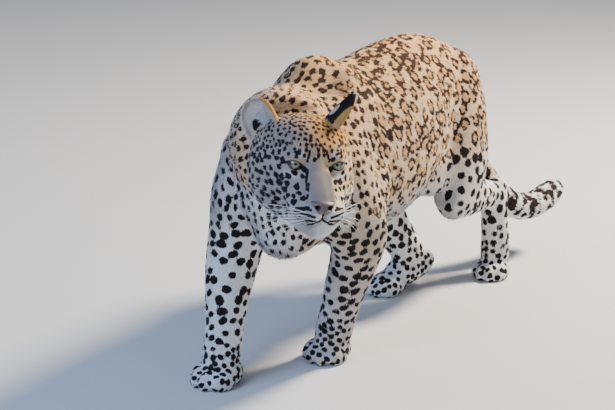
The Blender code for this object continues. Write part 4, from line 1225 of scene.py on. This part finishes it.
def add_nose(tree):
    """The bare leather of the nose, a closed sheet laid on the muzzle's front."""
    finish = Finish("nose_leather", 0.42)
    dark, _, _ = finish.attribute("leather")
    grain = finish.noise(finish.place(), 1500.0)
    # The leather goes dark by its painted shade and its darker edge.
    colour = finish.mix(dark, linear(114, 92, 92), linear(20, 16, 18))
    finish.set(Base_Color=finish.tint(colour, 0.75 + 0.5 * grain), Normal=finish.bump(grain, 0.0004, 0.8))
    rows, columns = 44, 72
    v, u = np.meshgrid(np.linspace(0, 1, rows), np.linspace(-1, 1, columns), indexing="ij")
    x = u * leather_width(v)
    crown = 0.0040 * u ** 2
    z = LEATHER_TOP - crown + (LEATHER_BOTTOM - LEATHER_TOP + crown) * v
    starts = moved(np.stack([x, np.full(x.shape, -0.13), z], -1).reshape(-1, 3), HEAD)
    hits = surface_hits(tree, starts, np.tile(unit(HEAD[:3, 1]), (len(starts), 1)))
    depth = moved(hits, HEAD_BACK)[:, 1].reshape(x.shape)
    for _ in range(6):
        beside = sum(np.roll(depth, step, axis) for axis in (0, 1) for step in (1, -1)) / 4
        depth[1:-1, 1:-1] = beside[1:-1, 1:-1]
    rise, shade = nose_relief(x, z, u, v)
    front = np.stack([x, depth - rise, z], -1).reshape(-1, 3)
    rear = np.stack([x * 0.97, depth + 0.0085, z], -1).reshape(-1, 3)
    count = rows * columns
    index = np.arange(count).reshape(rows, columns)
    quads = np.stack([index[:-1, :-1], index[1:, :-1], index[1:, 1:], index[:-1, 1:]], -1).reshape(-1, 4)
    rim = np.concatenate([index[0, :-1], index[:-1, -1], index[-1, :0:-1], index[:0:-1, 0]])
    wall = np.stack([rim, np.roll(rim, -1), np.roll(rim, -1) + count, rim + count], -1)
    faces = np.vstack([quads, quads[:, ::-1] + count, wall])
    nose = piece_from("nose_leather", moved(np.vstack([front, rear]), HEAD), faces, finish.material, "coat")
    keep(nose, "leather", np.tile(np.stack([shade, u, v], -1).reshape(-1, 3), (2, 1)))


def add_ear_hair(tree, finish):
    """Pale hairs that stand on each ear's inner wall and lean across its opening."""
    generator = np.random.default_rng(33)
    count = 220
    for name in EARS:
        turn = ear_turn(name)
        inner = -np.sign(EARS[name][2])
        x = inner * generator.uniform(0.000, 0.024, count)
        z = generator.uniform(0.030, 0.062, count)
        starts = moved(moved(np.stack([x, np.full(count, -0.045), z], 1), ear_matrix(name)), HEAD)
        into = turn @ np.array((0, 1.0, 0))
        roots = surface_hits(tree, starts, np.tile(into, (count, 1)))
        way = np.stack([-inner * generator.uniform(0.4, 1.0, count), generator.uniform(-0.45, -0.20, count),
                        generator.uniform(-0.5, 0.5, count)], 1)
        way = unit(way @ turn.T)
        normal = unit(flattened(np.tile(-into, (count, 1)), way))
        unmarked = np.full((count, 3, 2), 9.0)
        pale = np.tile((0.30, 0.60, 0.45), (count, 1))
        tufts("coat_" + name + "_hair", roots, normal, way, (0.017, 0.0010, 0.06), unmarked, pale, finish,
              generator, unrolled(roots, HEAD[:3, 3], HEAD[:3, 0]))


def long_hair(tree, start, into, way, drop, length, radii, bow):
    """A tube from where the skin is met: root + way t + drop bow t squared, both times its length. The start
    and the three directions are the head frame's."""
    root = surface_hits(tree, [moved(np.array([start]), HEAD)[0]], [unit(HEAD[:3, :3] @ np.array(into))])[0]
    t = np.linspace(0, 1, len(radii))[:, None]
    path = root + unit(HEAD[:3, :3] @ np.array(way)) * length * t
    return tube(path + HEAD_TURNED @ np.array(drop) * length * t ** 2 * bow, radii, 3)


def add_whiskers(tree):
    """Four rows a side, each hair a thin tapering tube that bows back and down; a few stand over each eye."""
    generator = np.random.default_rng(21)
    material = plain_finish("whisker", linear(240, 238, 232), 0.35)
    parts = []
    for side in (1, -1):
        for row, height in enumerate((-0.0770, -0.0835, -0.0900, -0.0960)):
            for k in range(6):
                start = (side * (0.020 + 0.0058 * k + 0.002 * (row % 2)), -0.090, height)
                length = (0.045 + 0.013 * k) * generator.uniform(0.85, 1.15)
                rise = 0.10 - 0.13 * row + generator.normal(0, 0.06)
                way = (side * (0.62 + 0.04 * k), 0.30 + 0.09 * k, rise)
                parts.append(long_hair(tree, start, (-side * 0.15, 1.0, 0.0), way,
                                       (-side * 0.10, 0.32, -0.30), length, WHISKER_RADII, 0.8))
        for k in range(4):
            start = (side * (0.032 + 0.005 * k), -0.06, 0.026 + 0.002 * k)
            way = (side * (0.1 + 0.12 * k), -0.35, 0.9)
            parts.append(long_hair(tree, start, (0.0, 1.0, 0.0), way, (side * 0.3, 0.9, 0.0),
                                   generator.uniform(0.020, 0.030), BROW_HAIR_RADII, 0.5))
    piece_from("whiskers", *merged(parts), material, "coat")


def tuft_sizes(points, normals, share):
    """For each point a tuft's length, width and lift, and the distance between tufts: shortest and closest at
    the muzzle and round the eyes, short on the feet, longer on the belly, the cheek ruffs and the chin."""
    side = folded(moved(points, HEAD_BACK))
    _, length, width, space = (share @ body_table(COAT)).T
    head = part_share(share, "head")
    muzzle = smoothstep(0.095, 0.030, np.linalg.norm(side - (0, -0.055, -0.045), axis=1)) * head
    eye = smoothstep(0.030, 0.017, np.linalg.norm(side - EYE_PLACE, axis=1)) * head
    under = smoothstep(-0.2, -0.9, normals[:, 2]) * part_share(share, "torso")
    cheek = patch(side, (0.075, 0.055, -0.070), 0.045) * head
    chin = patch(side, (0.0, -0.055, -0.120), (0.040, 0.035, 0.022)) * head
    foot = smoothstep(0.085, 0.030, (points - ORIGIN_SHIFT)[:, 2]) * part_share(share, *LEGS)
    length = length * (1 - 0.62 * muzzle) * (1 - 0.5 * eye) * (1 + 0.6 * under)
    length = length * (1 + 1.3 * cheek + 1.4 * chin) * (1 - 0.45 * foot)
    width = width * (1 - 0.40 * muzzle) * (1 - 0.35 * eye)
    space = space * (1 - 0.28 * muzzle) * (1 - 0.15 * eye)
    lift = 0.20 + 0.10 * under + 0.16 * cheek + 0.20 * chin - 0.08 * foot - 0.09 * muzzle
    return length, width, lift, space


def coat_pieces(place, part):
    """The coat's pieces: name, which places are in it, and the point and axis that it is unrolled round."""
    head = HEAD[:3, 3]
    lengths = {
        "head": (("head",), head, HEAD[:3, 2]), "ears": (("ear_left", "ear_right"), head, HEAD[:3, 0]),
        "neck": (("neck",), body_point((0.04, -0.48, 0.54)), (0.45, -0.85, 0.1)),
        "foreleg_left": (("foreleg_left",), body_point((0.08, -0.26, 0.3)), (0.12, 0.0, 1.0)),
        "foreleg_right": (("foreleg_right",), body_point((-0.11, -0.42, 0.3)), (0.0, 0.3, 1.0)),
        "hindleg_left": (("hindleg_left",), body_point((0.10, 0.36, 0.3)), (0.0, 0.0, 1.0)),
        "hindleg_right": (("hindleg_right",), body_point((-0.06, 0.26, 0.25)), (0.0, 0.0, 1.0)),
        "tail": (TAIL, body_point((0.06, 0.56, 0.3)), (0.25, 0.6, -0.75)),
    }
    face = moved(place, HEAD_BACK)[:, 1] < 0.035
    pieces = []
    for name, (names, origin, axis) in lengths.items():
        mask = np.isin(part, [FLESH.index(n) for n in names])
        pieces.append((name, mask & ~face if name == "head" else mask, origin, axis))
    trunk = part == FLESH.index("torso")
    forward = place[:, 1] - ORIGIN_SHIFT[1]
    for number, (low, high) in enumerate(zip(TORSO_CUTS[:-1], TORSO_CUTS[1:])):
        mask = trunk & (forward >= low) & (forward < high)
        pieces.append(("torso_%d" % (number + 1), mask, body_point((0.0, 0.0, 0.45)), (0.0, 1.0, 0.0)))
    mask = (part == FLESH.index("head")) & face
    return pieces + [("head_face", mask, head, HEAD[:3, 2])]


def add_coat(points, faces, normals, lie, share, owner, marks, tawny, lines, base, finish):
    """The coat's tufts, in pieces that each cover a length of the body."""
    generator = np.random.default_rng(COAT_SEED)
    *sizes, space = tuft_sizes(points, normals, share)
    chosen, weights = scattered(points, faces, 1 / space ** 2, generator)
    place, normal, way = (at(v, faces, chosen, weights) for v in (points, normals, lie))
    normal = unit(normal)
    way = unit(flattened(way, normal))
    base, share, *sizes = (at(v, faces, chosen, weights) for v in (base, share, *sizes))
    spots = np.stack([mark_field(place + way * sizes[0][:, None] * reach, normal, share, marks, tawny, lines)
                      for reach in (0.0, 0.42, 0.95)], 1)
    free = ~no_tufts(place) & (place[:, 2] > 0.004)
    for name, mask, origin, axis in coat_pieces(place, owner[faces[chosen, 0]]):
        mask = mask & free
        tufts("coat_" + name, place[mask], normal[mask], way[mask], [size[mask] for size in sizes],
              spots[mask], base[mask], finish, generator, unrolled(place[mask], origin, axis))


def no_tufts(points):
    """Bare places: the nose leather and nostrils, the openings of the eyes, and the lips' edge."""
    local = moved(points, HEAD_BACK)
    v, across = leather_reach(local)
    bare = (v > -0.02) & (v < 1.0) & (across > 0) & (local[:, 1] < -0.055)
    for k in (1, -1):
        q = moved(local, np.linalg.inv(eye_matrix(k)))
        bare |= (lid_gap(q[:, 0], q[:, 2]) < 0.0012) & (np.linalg.norm(q, axis=1) < 0.03) & (q[:, 1] < 0.004)
    return bare | (path_distance(folded(local), smooth_path(MOUTH_LINE, 4)) < 0.0022)


def add_floor():
    """A plain pale floor that the model stands on."""
    finish = Finish("floor", 0.9)
    noise = finish.noise(finish.place(), 3.0, 3.0)
    finish.set(Base_Color=finish.tint((0.66, 0.65, 0.64), 0.97 + 0.05 * noise))
    size = 9.0
    points = np.array([(-size, -size, 0), (size, -size, 0), (size, size, 0), (-size, size, 0)], float)
    mesh = mesh_from("floor", points, np.array([(0, 1, 2, 3)]))
    mesh.materials.append(finish.material)
    floor = bpy.data.objects.new("floor", mesh)
    bpy.context.scene.collection.objects.link(floor)


def add_light(name, place, size, power, colour):
    """A round lamp turned to the middle of the body."""
    data = bpy.data.lights.new(name, "AREA")
    data.shape = "DISK"
    data.size = size
    data.energy = power
    data.color = colour
    light = bpy.data.objects.new(name, data)
    light.location = place
    to_body = Vector(body_point((0.0, -0.1, 0.35))) - Vector(place)
    light.rotation_euler = to_body.to_track_quat("-Z", "Y").to_euler()
    bpy.context.scene.collection.objects.link(light)


def add_lights():
    """A warm lamp high on the picture's right and behind the animal, a broad cool one from the left and the
    camera's side, and a pale sky."""
    right, _, back = camera_axes()
    middle = body_point((0.0, -0.1, 0.3))
    key = middle + right * 2.4 - back * 1.4 + np.array((0, 0, 2.8))
    fill = middle - right * 2.6 + back * 2.4 + np.array((0, 0, 2.0))
    add_light("key", key, 0.7, 400.0, (1.0, 0.89, 0.75))
    add_light("fill", fill, 2.6, 155.0, (0.42, 0.62, 1.0))
    world = bpy.data.worlds.new("world")
    world.use_nodes = True
    sky = world.node_tree.nodes["Background"]
    sky.inputs["Color"].default_value = (0.68, 0.80, 1.0, 1.0)
    sky.inputs["Strength"].default_value = 0.36
    bpy.context.scene.world = world


def build():
    """The whole model: the markings are worked out on the closed skin, before its lids and nostrils open."""
    points, faces, edges, share, owner = skin_surface()
    normals = point_normals(points, faces)
    lie = lie_of_coat(points, normals, edges, share)
    tree = BVHTree.FromPolygons(points.tolist(), faces.tolist())
    lines = face_lines(tree)
    marks, tawny = blotches(points, faces, normals, lie, share, lines)
    base = base_colour(points, normals, share)
    spots = mark_field(points, normals, share, marks, tawny, lines)
    opened = under_leather(open_lids(points))
    skin = piece_from("skin", opened, faces, coat_finish("skin", False), "coat")
    keep(skin, "markings", np.column_stack([spots, np.full(len(points), 0.5)]))
    keep(skin, "base", base)
    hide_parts(*FLESH)
    fur = coat_finish("fur", True)
    add_lids(tree)
    add_nose(tree)
    add_whiskers(tree)
    add_eyes()
    add_ear_hair(tree, fur)
    add_coat(points, faces, normals, lie, share, owner, marks, tawny, lines, base, fur)


build()
add_floor()
add_camera()
add_lights()
